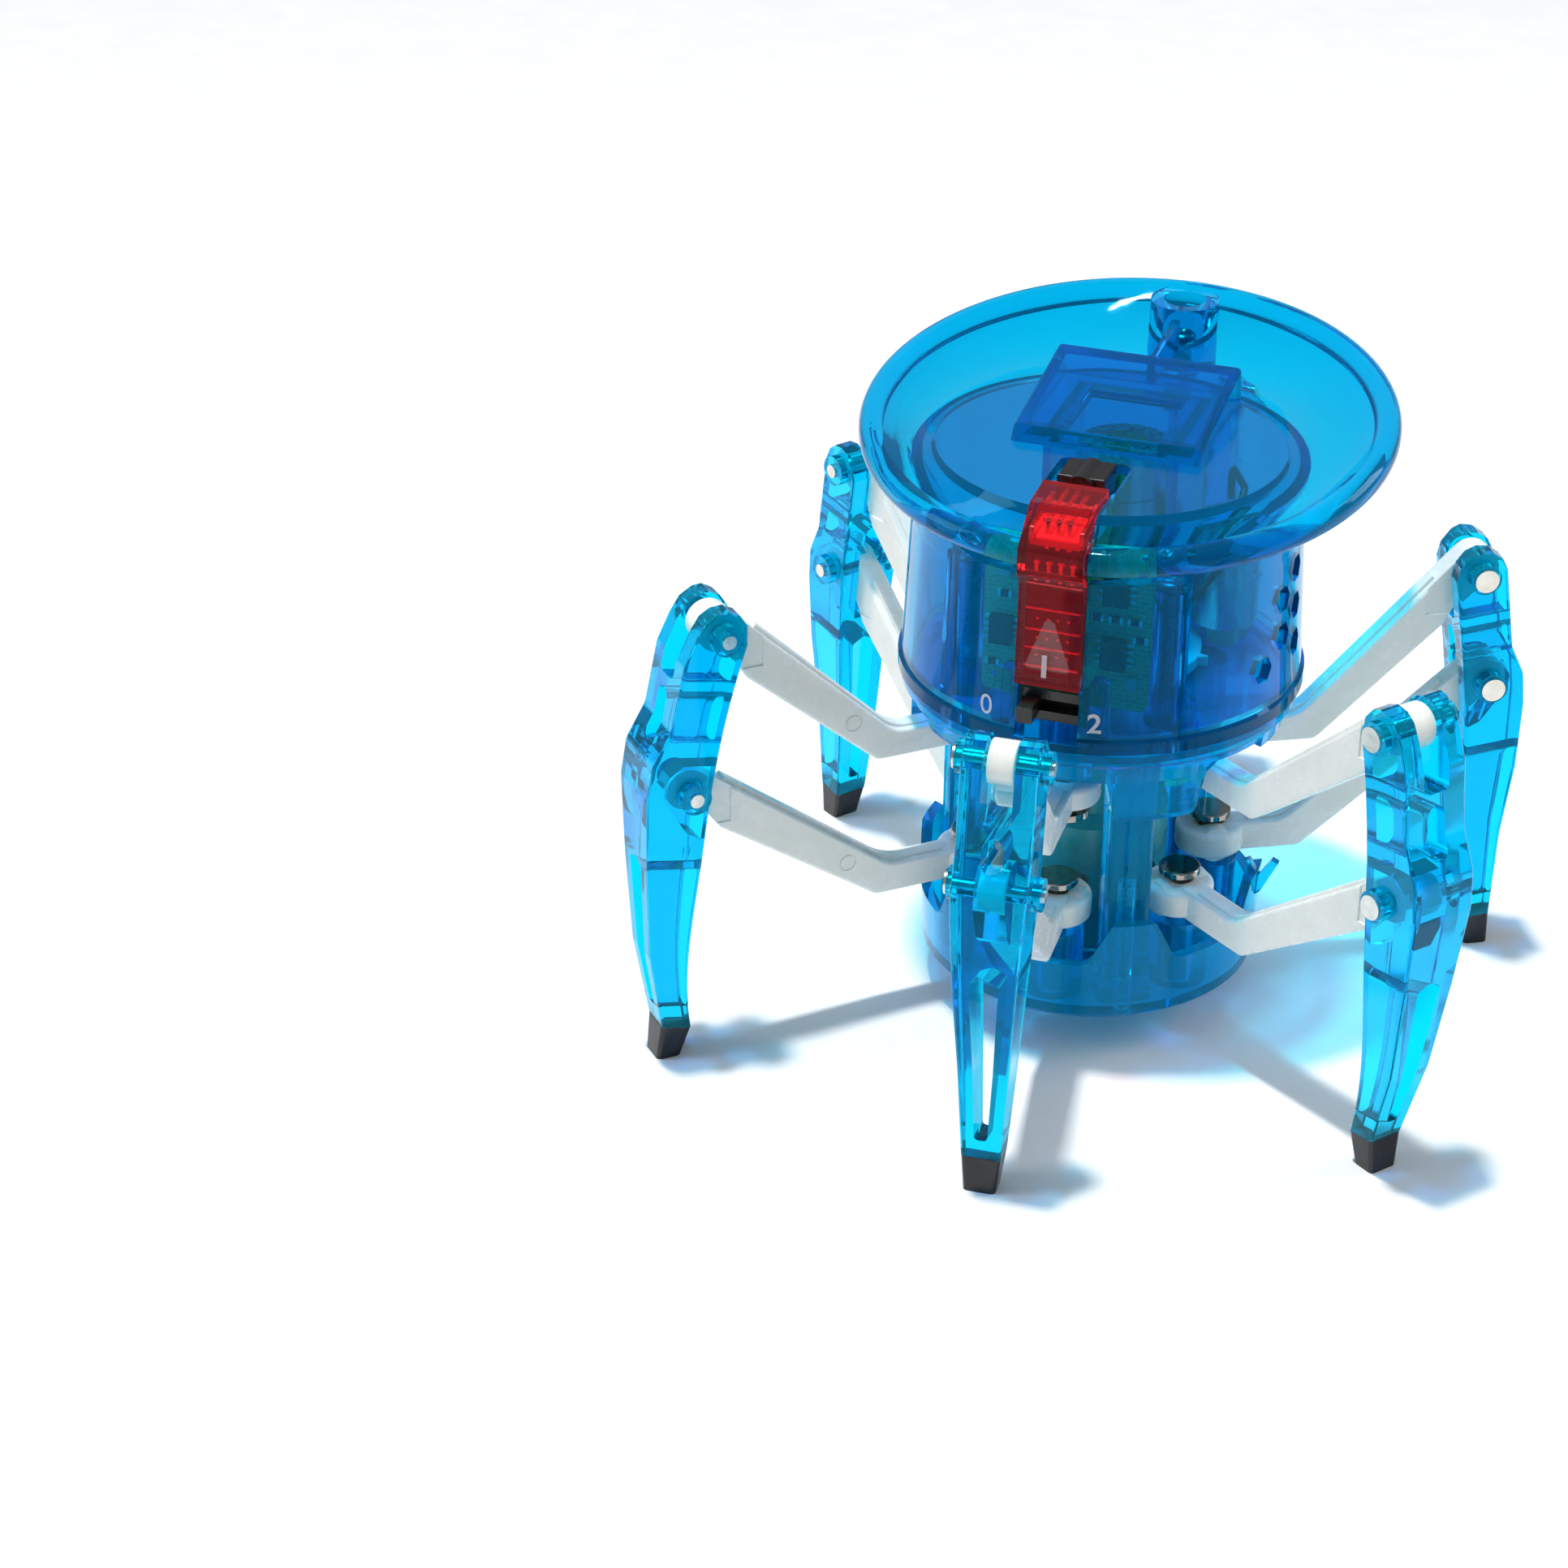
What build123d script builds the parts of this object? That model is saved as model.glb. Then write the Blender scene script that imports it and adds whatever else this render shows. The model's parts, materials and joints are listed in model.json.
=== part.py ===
"""Six-legged walking toy robot with a turning head.

Origin: centre of the flat underside of the base dish.  +Z is up, the front is -Y.
Azimuths are measured from the front (-Y), positive towards +X.
Each leg is two nylon arms and a clear lower leg, hinged as a parallelogram.
"""
import os
from math import cos, radians, sin, tan
from build123d import *

os.makedirs("parts", exist_ok=True)

# ---------------------------------------------------------------- driving dimensions (mm)
GROUND = -5.2            # the feet stand this far below the base dish
GAP = 0.3                # running gap between parts that move past each other

# chassis
DISH_R = 20.3            # outer radius of the dish at its underside
DISH_FLARE = 0.7         # how far the wall leans out by its top
DISH_FLOOR = 1.4
DISH_WALL = 1.3
LOBE_TOP = 13.2          # scalloped rim: high lobes between the legs
SCALLOP_TOP = 7.6        # low stretches under the legs
PLATE_R = 23.6           # top plate of the chassis
PLATE_Z = 35.4
PLATE_TOP = 37.4
NECK_H = 2.2             # collar above the plate that the head turns on
TAB_R = 22.3             # hanging trapezoid tabs
TAB_LOW = 28.2
PILLAR_R = 18.3          # pitch radius of the three screw pillars
PILLAR_AZIMUTHS = (30, 150, 270)

# hips
HUB_R = 15.0             # pitch radius of the lower hip pins
HUB_Z = 12.8             # middle of the lower arm's ring
RING_R = 4.2
RING_H = 4.4
PIN_R = 1.35
DISC_R = 2.5
DISC_H = 0.8
PIN_FIT = 0.04

# knee joints
KNEE_R = 0.85            # knee pin
EYE_R = 2.55             # arm end round the knee pin
EYE_W = 3.0
NECK_R = 1.8             # underside of the arm's neck, below the line of its slope
ARM_W = 3.4
BAR_STEP = 0.3           # the level bar is this much lower than the ring's two rockers
ROCKER_H = 0.5           # height of the half-round rockers across the ring
ARM_H = 5.3
LEG_W = 8.6              # width of the lower leg across the ears
FOOT_W = 4.6
TIP_H = 4.3

# head
HEAD_GAP = 0.4           # the head turns this far above the chassis plate
FLANGE_R = 24.1
FLANGE_Z = PLATE_TOP + HEAD_GAP
FLANGE_H = 1.5
CUP_R = 23.7             # cup wall above the flange
CUP_R_TOP = 22.9
CUP_WALL = 1.3
SOUND_HOLE_R = 1.7       # corner radius of the six-sided sound holes
DECK_Z = 66.0            # level deck on top of the head
DECK_R = 20.4
SHEET = 1.3
RIM_R = 31.7             # slanted round brim
RIM_OFFSET = 7.7         # its centre lies behind the head's axis
RIM_Z = 65.7
RIM_TILT = 8.6
BEAD_W = 3.2
BEAD_H = 3.8

# legs: azimuth, rest swing, leg family, inward lean of the lower leg
LEGS = {
    "front": (0, 3.1, "short", 7.5),
    "front_right": (60, -6.5, "long", 6.4),
    "rear_right": (120, -1.1, "short", 8.7),
    "rear": (180, 0.0, "long", 9.0),
    "rear_left": (-120, -4.9, "short", 8.4),
    "front_left": (-60, 13.8, "long", 11.8),
}
# family: knee reach and rise from the hip, knee spacing, upper hip radius and height, elbow
FAMILIES = {
    "long": dict(reach=38.3, rise=18.4, spacing=19.9, up_r=11.9, up_z=31.0, elbow=12.5),
    "short": dict(reach=32.6, rise=20.0, spacing=14.8, up_r=12.9, up_z=27.4, elbow=9.8),
}


def outward(azimuth):
    """Unit vector away from the axis at an azimuth."""
    return Vector(sin(radians(azimuth)), -cos(radians(azimuth)), 0)


def sideways(azimuth):
    """Unit vector square to outward, level."""
    return Vector(cos(radians(azimuth)), sin(radians(azimuth)), 0)


def at(azimuth, radius, z=0.0):
    """A point at an azimuth, radius and height."""
    return outward(azimuth) * radius + Vector(0, 0, z)


def upright(origin, azimuth):
    """Plane whose x runs outward and y upward."""
    return Plane(origin=origin, x_dir=outward(azimuth), z_dir=-sideways(azimuth))


def level(azimuth, radius, z):
    """Level plane at a point, x outward."""
    return Plane(origin=at(azimuth, radius, z), x_dir=outward(azimuth), z_dir=(0, 0, 1))


def save(part, label):
    """Label a finished piece and write it."""
    part.label = label
    export_step(part, f"parts/{label}.step")


# ---------------------------------------------------------------- chassis base dish
with BuildPart() as base:
    with BuildSketch(Plane.XZ):
        with BuildLine():
            Polyline(
                (0, 0), (DISH_R - 0.6, 0), (DISH_R, 0.6), (DISH_R + DISH_FLARE, LOBE_TOP),
                (DISH_R + DISH_FLARE - DISH_WALL, LOBE_TOP), (DISH_R - DISH_WALL, DISH_FLOOR),
                (0, DISH_FLOOR), close=True,
            )
        make_face()
    revolve(axis=Axis.Z)
    # scallops under the legs: flat-bottomed notches with sloping sides
    for azimuth, _, _, _ in LEGS.values():
        with BuildSketch(upright(at(azimuth + 90, 0), azimuth + 90)):
            with BuildLine():
                FilletPolyline(
                    (-8.6, LOBE_TOP + 1), (-5.2, SCALLOP_TOP), (5.2, SCALLOP_TOP), (8.6, LOBE_TOP + 1),
                    radius=1.8,
                )
                Line((8.6, LOBE_TOP + 1), (-8.6, LOBE_TOP + 1))
            make_face()
        extrude(amount=DISH_R + 2, mode=Mode.SUBTRACT)
    # six posts that carry the hip pins
    for azimuth, _, _, _ in LEGS.values():
        with BuildSketch(level(azimuth, HUB_R, DISH_FLOOR)):
            Circle(3.5)
        extrude(amount=HUB_Z - RING_H / 2 - 0.75 - DISH_FLOOR)
        with BuildSketch(level(azimuth, HUB_R, DISH_FLOOR)):
            Circle(PIN_R + PIN_FIT)
        extrude(amount=HUB_Z, mode=Mode.SUBTRACT)
    # three sockets that take the feet of the pillars
    for azimuth in PILLAR_AZIMUTHS:
        with BuildSketch(level(azimuth, PILLAR_R - 2.3, DISH_FLOOR)):
            RectangleRounded(4.6, 6.4, 1.2)
        extrude(amount=3.2)
        with BuildSketch(level(azimuth, PILLAR_R - 2.3, -1)):
            Circle(1.15)
        extrude(amount=8, mode=Mode.SUBTRACT)
    # raised ring in the middle that the gearbox sits in
    with BuildSketch(Plane.XY.offset(DISH_FLOOR)):
        Circle(9.6)
        Circle(8.6, mode=Mode.SUBTRACT)
    extrude(amount=1.6)
    # wire hook beside the right-hand scallop: a small fork on a stalk
    with BuildSketch(upright(at(90, DISH_R + 0.2, LOBE_TOP - 1.2), 90)):
        with BuildLine():
            Polyline(
                (-0.9, -3.0), (0.9, -1.6), (2.9, 2.6), (2.1, 3.0), (0.6, 0.6), (-0.7, 2.6),
                (-1.4, 2.2), (-0.6, -0.3), close=True,
            )
        make_face()
    extrude(amount=0.5, both=True)
save(base.part, "chassis_base")

# ---------------------------------------------------------------- chassis top plate
UPPER_PIN_TOP = PLATE_Z + 1.0
with BuildPart() as top:
    with BuildSketch(Plane.XY.offset(PLATE_Z)):
        Circle(PLATE_R)
        Circle(6.0, mode=Mode.SUBTRACT)
    extrude(amount=PLATE_TOP - PLATE_Z)
    chamfer(top.edges().group_by(Axis.Z)[0].filter_by(lambda e: e.radius > 10), 0.7)
    # outer skirt drawn in under the plate
    with BuildSketch(Plane.XZ):
        with BuildLine():
            Polyline(
                (PLATE_R - 0.8, PLATE_Z + 0.2), (TAB_R, PLATE_Z - 2.2), (TAB_R - 1.3, PLATE_Z - 2.2),
                (TAB_R - 1.6, PLATE_Z + 0.2), close=True,
            )
        make_face()
    revolve(axis=Axis.Z)
    # notches in the skirt over the upper arms of the long legs
    for azimuth, _, family, _ in LEGS.values():
        if family == "long":
            with BuildSketch(level(azimuth, TAB_R, PLATE_Z - 2.4)):
                Rectangle(7.0, 10.4)
            extrude(amount=1.5, mode=Mode.SUBTRACT)
    # three hanging tabs, wide at the plate and narrow below
    for azimuth in PILLAR_AZIMUTHS:
        with BuildPart(mode=Mode.PRIVATE) as tab:
            with BuildSketch(Plane.XY.offset(TAB_LOW)):
                Circle(TAB_R)
                Circle(TAB_R - 1.4, mode=Mode.SUBTRACT)
            extrude(amount=PLATE_Z - TAB_LOW + 0.4)
            with BuildSketch(Plane(origin=at(azimuth, 0), x_dir=sideways(azimuth), z_dir=outward(azimuth))):
                with BuildLine():
                    FilletPolyline(
                        (-5.2, PLATE_Z + 1), (-3.6, TAB_LOW), (6.2, TAB_LOW), (7.4, TAB_LOW + 5.0),
                        (11.8, PLATE_Z + 1), radius=1.2,
                    )
                    Line((11.8, PLATE_Z + 1), (-5.2, PLATE_Z + 1))
                make_face()
            extrude(amount=TAB_R + 3, mode=Mode.INTERSECT)
        add(tab.part)
    # finned pillars down to the sockets of the dish, bored for the long screws
    for azimuth in PILLAR_AZIMUTHS:
        with BuildSketch(level(azimuth, PILLAR_R - 2.3, DISH_FLOOR + 3.3)):
            RectangleRounded(4.0, 5.6, 1.0)
            with Locations((1.8, 0)):
                Rectangle(2.0, 1.2)
        extrude(amount=PLATE_Z - DISH_FLOOR - 3.2)
        with BuildSketch(level(azimuth, PILLAR_R - 2.3, -1)):
            Circle(1.15)
        extrude(amount=18, mode=Mode.SUBTRACT)
    # hanging posts for the upper arms
    for azimuth, _, family, _ in LEGS.values():
        size = FAMILIES[family]
        post_end = size["up_z"] + 2.0 + 0.7
        with BuildSketch(level(azimuth, size["up_r"], post_end)):
            Circle(2.9)
        extrude(amount=PLATE_Z - post_end + 0.2)
        with BuildSketch(level(azimuth, size["up_r"], post_end)):
            Circle(PIN_R + PIN_FIT)
        extrude(amount=UPPER_PIN_TOP - post_end, mode=Mode.SUBTRACT)
    # neck collar that the head's neck ring turns on
    with BuildSketch(Plane.XY.offset(PLATE_TOP)):
        Circle(7.6)
        Circle(6.0, mode=Mode.SUBTRACT)
    extrude(amount=NECK_H)
save(top.part, "chassis_top")

# ---------------------------------------------------------------- chassis screws (from below)
with BuildPart() as chassis_screws:
    for azimuth in PILLAR_AZIMUTHS:
        with BuildSketch(level(azimuth, PILLAR_R - 2.3, -0.02)):
            Circle(1.1)
        extrude(amount=16)
        with BuildSketch(level(azimuth, PILLAR_R - 2.3, -0.02)):
            Rectangle(1.4, 0.4)
        extrude(amount=0.5, mode=Mode.SUBTRACT)
save(chassis_screws.part, "chassis_screws")

# ---------------------------------------------------------------- hip pins of the upper arms
with BuildPart() as upper_pins:
    for azimuth, _, family, _ in LEGS.values():
        size = FAMILIES[family]
        disc_z = size["up_z"] - 2.0 - 0.65 - DISC_H
        with BuildSketch(level(azimuth, size["up_r"], disc_z)):
            Circle(2.9)
        extrude(amount=DISC_H)
        with BuildSketch(level(azimuth, size["up_r"], disc_z)):
            Circle(PIN_R)
        extrude(amount=UPPER_PIN_TOP - 0.2 - disc_z)
save(upper_pins.part, "upper_hip_pins")


# ---------------------------------------------------------------- legs
def make_hip_pin(azimuth):
    """Steel pin with a flat disc head that the lower arm swings on."""
    with BuildPart() as pin:
        with BuildSketch(level(azimuth, HUB_R, DISH_FLOOR + 0.4)):
            Circle(PIN_R)
        extrude(amount=HUB_Z + RING_H / 2 + 0.6 - DISH_FLOOR - 0.4)
        with BuildSketch(level(azimuth, HUB_R, HUB_Z + RING_H / 2 + 0.6)):
            Circle(DISC_R)
        extrude(amount=DISC_H)
        fillet(pin.edges().group_by(Axis.Z)[-1], 0.2)
    return pin.part


def make_arm(hub, turned, knee, elbow, ring_h, bore):
    """Cranked nylon arm: ring on the hip pin, level bar, elbow, sloping bar, eye on the knee pin."""
    plane = upright(hub, turned)
    slope = Vector(knee[0] - elbow, knee[1], 0).normalized()
    normal = Vector(-slope.Y, slope.X, 0)
    half = ARM_H / 2
    bar_half = ring_h / 2 - BAR_STEP
    eye = Vector(knee[0], knee[1], 0)
    # the two corners of the elbow, where the level and sloping edges meet
    bend = Vector(elbow, 0, 0)
    cot = (1 - slope.X) / slope.Y
    top_corner = bend + Vector(-half * cot, bar_half, 0)
    low_corner = bend + Vector(half * cot * 1.2, -bar_half, 0)
    neck = eye - slope * 7.6 - normal * half
    waist = eye - slope * 4.9 - normal * NECK_R
    eye_top = eye + normal * EYE_R
    eye_far = eye + slope * EYE_R
    eye_low = eye - normal * NECK_R - slope * (EYE_R**2 - NECK_R**2) ** 0.5
    side = sideways(turned)
    with BuildPart() as arm:
        with BuildSketch(plane):
            with BuildLine():
                outline = FilletPolyline(
                    (0, bar_half), (top_corner.X, top_corner.Y), (eye_top.X, eye_top.Y),
                    radius=4.0,
                )
                lower = FilletPolyline(
                    (0, -bar_half), (low_corner.X, low_corner.Y), (neck.X, neck.Y), (waist.X, waist.Y),
                    (eye_low.X, eye_low.Y),
                    radius=1.7,
                )
                Line(outline @ 0, lower @ 0)
                ThreePointArc(outline @ 1, (eye_far.X, eye_far.Y), lower @ 1)
            make_face()
        extrude(amount=ARM_W / 2, both=True)
        # soften the long edges of both side faces
        rim = arm.edges().filter_by(lambda edge: abs((edge @ 1 - edge @ 0).normalized().dot(side)) < 0.1)
        rim = rim.filter_by(lambda edge: (edge @ 0.5 - hub).length > 3)
        fillet(rim, 0.4)
        # slim the end that goes between the ears
        for offset in (EYE_W / 2, -EYE_W / 2 - 1):
            with BuildSketch(plane.offset(offset)):
                with Locations((eye.X, eye.Y)):
                    Rectangle(11.6, 11.6)
            extrude(amount=1, mode=Mode.SUBTRACT)
        # hip ring with rounded rims, and a half-round rocker across it on which the arm tips up and down
        ring_half = ring_h / 2 - ROCKER_H
        with BuildSketch(plane):
            with BuildLine():
                rim_line = FilletPolyline(
                    (0, -ring_half), (RING_R, -ring_half), (RING_R, ring_half), (0, ring_half), radius=0.7,
                )
                Line(rim_line @ 1, rim_line @ 0)
            make_face()
        revolve(axis=Axis(hub, (0, 0, 1)))
        with BuildSketch(plane):
            Circle(ring_h / 2)
        extrude(amount=RING_R - 0.8, both=True)
        ring_plane = Plane(origin=hub - Vector(0, 0, ring_h / 2), x_dir=outward(turned), z_dir=(0, 0, 1))
        with BuildSketch(ring_plane):
            Circle(bore)
        extrude(amount=ring_h + 1, mode=Mode.SUBTRACT)
        with BuildSketch(plane):
            with Locations((eye.X, eye.Y)):
                Circle(KNEE_R + PIN_FIT)
        extrude(amount=EYE_W, both=True, mode=Mode.SUBTRACT)
        # round moulding mark on one side, near the elbow
        mark = bend + slope * 6
        with BuildSketch(plane.offset(-ARM_W / 2)):
            with Locations((mark.X, mark.Y)):
                Circle(1.1)
                Circle(0.9, mode=Mode.SUBTRACT)
        extrude(amount=0.12, mode=Mode.SUBTRACT)
    return arm.part


# side outline of each lower leg: (outward, along), measured from the lower knee pin
SHANK_INNER = {
    "long": ((-3.1, 19.0), (-2.5, 13.0), (-2.5, -1.5), (-3.2, -9.0), (-4.5, -22.0)),
    "short": ((-3.2, 14.6), (-3.2, 10.0), (-3.1, 2.0), (-3.4, -6.0), (-4.6, -22.0)),
}
SHANK_OUTER = {
    "long": ((3.4, 19.6), (4.3, 16.0), (4.3, 8.2), (5.8, 3.6), (5.6, -1.0), (3.4, -11.0), (0.6, -22.0)),
    "short": ((3.1, 15.0), (3.1, 4.6), (4.3, 0.6), (4.2, -3.6), (2.9, -12.5), (0.6, -22.0)),
}


def make_lower_leg(knee_point, turned, family, lean):
    """Clear lower leg and its rubber tip, in the frame of its leaning axis."""
    size = FAMILIES[family]
    side = sideways(turned)
    along = outward(turned) * -sin(radians(lean)) + Vector(0, 0, cos(radians(lean)))
    across = outward(turned) * cos(radians(lean)) + Vector(0, 0, sin(radians(lean)))
    side_plane = Plane(origin=knee_point, x_dir=across, z_dir=-side)
    front_plane = Plane(origin=knee_point, x_dir=side, z_dir=across)
    spacing = size["spacing"]
    drop = knee_point.Z - GROUND
    foot_x = -5.1 if family == "long" else -3.1
    foot_y = -(drop + foot_x * sin(radians(lean))) / cos(radians(lean))
    sole_y = foot_y + TIP_H
    inner = SHANK_INNER[family]
    outer = SHANK_OUTER[family]
    with BuildPart() as leg:
        with BuildSketch(side_plane.offset(-LEG_W / 2)):
            with BuildLine():
                Spline(*inner, (foot_x - 1.9, sole_y))
                Polyline(
                    inner[0], (-2.6, spacing + 1.5), (-1.4, spacing + 2.7), (0, spacing + 3.1),
                    (1.5, spacing + 2.7), (2.6, spacing + 1.7), outer[0],
                )
                FilletPolyline(*outer, (foot_x + 1.9, sole_y), radius=2.2)
                Line((foot_x - 1.9, sole_y), (foot_x + 1.9, sole_y))
            make_face()
        extrude(amount=LEG_W)
        # front outline: full width down to the lower knee, then tapering to the foot
        with BuildSketch(front_plane.offset(-12)):
            with BuildLine():
                half = LEG_W / 2
                Polyline(
                    (-half, spacing + 4), (half, spacing + 4), (half, 0), (half - 0.5, -9),
                    (FOOT_W / 2, sole_y), (-FOOT_W / 2, sole_y), (-half + 0.5, -9), (-half, 0), close=True,
                )
            make_face()
        extrude(amount=24, mode=Mode.INTERSECT)
        ridges = leg.edges().filter_by(lambda edge: abs((edge @ 1 - edge @ 0).normalized().dot(along)) > 0.5)
        fillet(ridges, 0.4)
        # bosses round both knee pins
        for height in (0, spacing):
            with BuildSketch(side_plane):
                with Locations((0, height)):
                    Circle(1.9)
            extrude(amount=LEG_W / 2 + 1.0, both=True)
        slot = EYE_W + 2 * GAP
        # notch between the ears
        with BuildSketch(front_plane.offset(-12)):
            with Locations((0, spacing + 0.2)):
                RectangleRounded(slot, 13.2, 0.8)
            with Locations((0, spacing + 6)):
                Rectangle(slot, 4)
        extrude(amount=24, mode=Mode.SUBTRACT)
        # window above the lower knee
        window_top = spacing - 7.9
        window_low = 2.9 if family == "short" else 5.6
        with BuildSketch(front_plane.offset(-12)):
            with Locations((0, (window_top + window_low) / 2)):
                SlotOverall(window_top - window_low, 2.5, rotation=90)
        extrude(amount=24, mode=Mode.SUBTRACT)
        # pocket for the lower arm, open on the inner side only
        with BuildSketch(side_plane):
            with BuildLine():
                Polyline(
                    (-9, 3.1), (0, 3.1), (1.2, 3.0), (2.6, 1.6), (3.0, 0), (2.6, -1.6), (-1.0, -5.6),
                    (-9, -8.6), close=True,
                )
            make_face()
        extrude(amount=slot / 2, both=True, mode=Mode.SUBTRACT)
        # long tapering slot between the two rails
        with BuildSketch(front_plane.offset(-14)):
            with BuildLine():
                FilletPolyline(
                    (0, -9.6), (1.7, -10.4), (0.75, sole_y + 2.4),
                    (-0.75, sole_y + 2.4), (-1.7, -10.4), (0, -9.6),
                    radius=0.5,
                )
            make_face()
        extrude(amount=28, mode=Mode.SUBTRACT)
        # bores for the knee pins
        for height in (0, spacing):
            with BuildSketch(side_plane):
                with Locations((0, height)):
                    Circle(KNEE_R + 0.02)
            extrude(amount=LEG_W, both=True, mode=Mode.SUBTRACT)
    with BuildPart() as tip:
        tip_plane = Plane(origin=knee_point + along * sole_y + across * foot_x, x_dir=across, z_dir=-along)
        low_plane = Plane(
            origin=knee_point + along * foot_y + across * foot_x, x_dir=outward(turned), z_dir=(0, 0, -1)
        )
        with BuildSketch(tip_plane):
            RectangleRounded(3.9, FOOT_W, 0.6)
        with BuildSketch(low_plane):
            RectangleRounded(3.1, FOOT_W - 0.8, 0.6)
        loft()
    return leg.part, tip.part


def make_knee_pins(knee_point, turned, spacing, lean):
    """Two steel pins, each a shaft with a flat head on one side."""
    along = outward(turned) * -sin(radians(lean)) + Vector(0, 0, cos(radians(lean)))
    side = sideways(turned)
    head_side = -side
    with BuildPart() as pins:
        for height in (0, spacing):
            middle = knee_point + along * height
            head_plane = Plane(origin=middle + head_side * (LEG_W / 2 + 1.02), z_dir=head_side)
            with BuildSketch(head_plane):
                Circle(1.45)
            extrude(amount=0.35)
            with BuildSketch(head_plane):
                Circle(KNEE_R)
            extrude(amount=-(LEG_W + 2.3))
    return pins.part


for name, (azimuth, swing, family, lean) in LEGS.items():
    size = FAMILIES[family]
    turned = azimuth + swing
    hub = at(azimuth, HUB_R, HUB_Z)
    knee = (size["reach"], size["rise"])
    knee_point = hub + outward(turned) * knee[0] + Vector(0, 0, knee[1])
    upper_hub = at(azimuth, HUB_R) + outward(turned) * (size["up_r"] - HUB_R) + Vector(0, 0, size["up_z"])
    high = (knee[0] - size["spacing"] * sin(radians(lean)), knee[1] + size["spacing"] * cos(radians(lean)))
    upper_knee = (high[0] + HUB_R - size["up_r"], HUB_Z + high[1] - size["up_z"])
    lower_leg, foot_tip = make_lower_leg(knee_point, turned, family, lean)
    save(make_hip_pin(azimuth), f"hip_pin_{name}")
    save(make_arm(hub, turned, knee, size["elbow"], RING_H, PIN_R + 0.45), f"lower_arm_{name}")
    save(make_arm(upper_hub, turned, upper_knee, size["elbow"] + 3.0, 4.0, PIN_R + 1.05), f"upper_arm_{name}")
    save(lower_leg, f"lower_leg_{name}")
    save(foot_tip, f"foot_tip_{name}")
    save(make_knee_pins(knee_point, turned, size["spacing"], lean), f"knee_pins_{name}")


# ---------------------------------------------------------------- head: cup
def rim_point(azimuth):
    """Radius and height of the slanted rim's outer edge at an azimuth about the head's axis."""
    a = radians(azimuth)
    # the rim is a circle tilted about X, so from above it is an ellipse centred behind the axis
    squash = cos(radians(RIM_TILT))
    qa = sin(a) ** 2 + (cos(a) / squash) ** 2
    qb = 2 * cos(a) * RIM_OFFSET / squash**2
    qc = (RIM_OFFSET / squash) ** 2 - RIM_R**2
    radius = (-qb + (qb**2 - 4 * qa * qc) ** 0.5) / (2 * qa)
    height = RIM_Z + (-cos(a) * radius - RIM_OFFSET) * tan(radians(RIM_TILT))
    return radius, height


def rim_section(azimuth):
    """Section of the brim on a radial plane: deck edge, curved sheet and the rounded bead."""
    radius, height = rim_point(azimuth)
    centre = radius - BEAD_W / 2
    reach = centre - DECK_R
    sag = 0.25 * reach * (1 if height > DECK_Z - 3 else 0)
    with BuildSketch(Plane(origin=(0, 0, 0), x_dir=outward(azimuth), z_dir=-sideways(azimuth))) as section:
        with BuildLine():
            high_mid = (DECK_R + 0.55 * reach, DECK_Z + (height - DECK_Z) * 0.45 - sag * 0.25)
            top_in = (centre - 0.7, height + BEAD_H / 2 - 0.3)
            low_in = (centre - 0.7, height - BEAD_H / 2 + 0.3)
            Spline((DECK_R, DECK_Z), high_mid, top_in)
            ThreePointArc(top_in, (radius, height), low_in)
            Spline(low_in, (high_mid[0], high_mid[1] - SHEET), (DECK_R, DECK_Z - SHEET))
            Line((DECK_R, DECK_Z - SHEET), (DECK_R, DECK_Z))
        make_face()
    return section.sketch


HATCH_W = 22.4
HATCH_FRONT = -3.6
HATCH_BACK = 17.6
OPENING_W = 14.2         # way into the battery compartment
OPENING_BACK = 14.4
LENS_W = 7.6
CELL_Y = 7.0             # stack of button cells
CELL_Z = 46.4
head_front = Plane(origin=(0, 0, 0), x_dir=(1, 0, 0), z_dir=(0, -1, 0))

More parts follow.
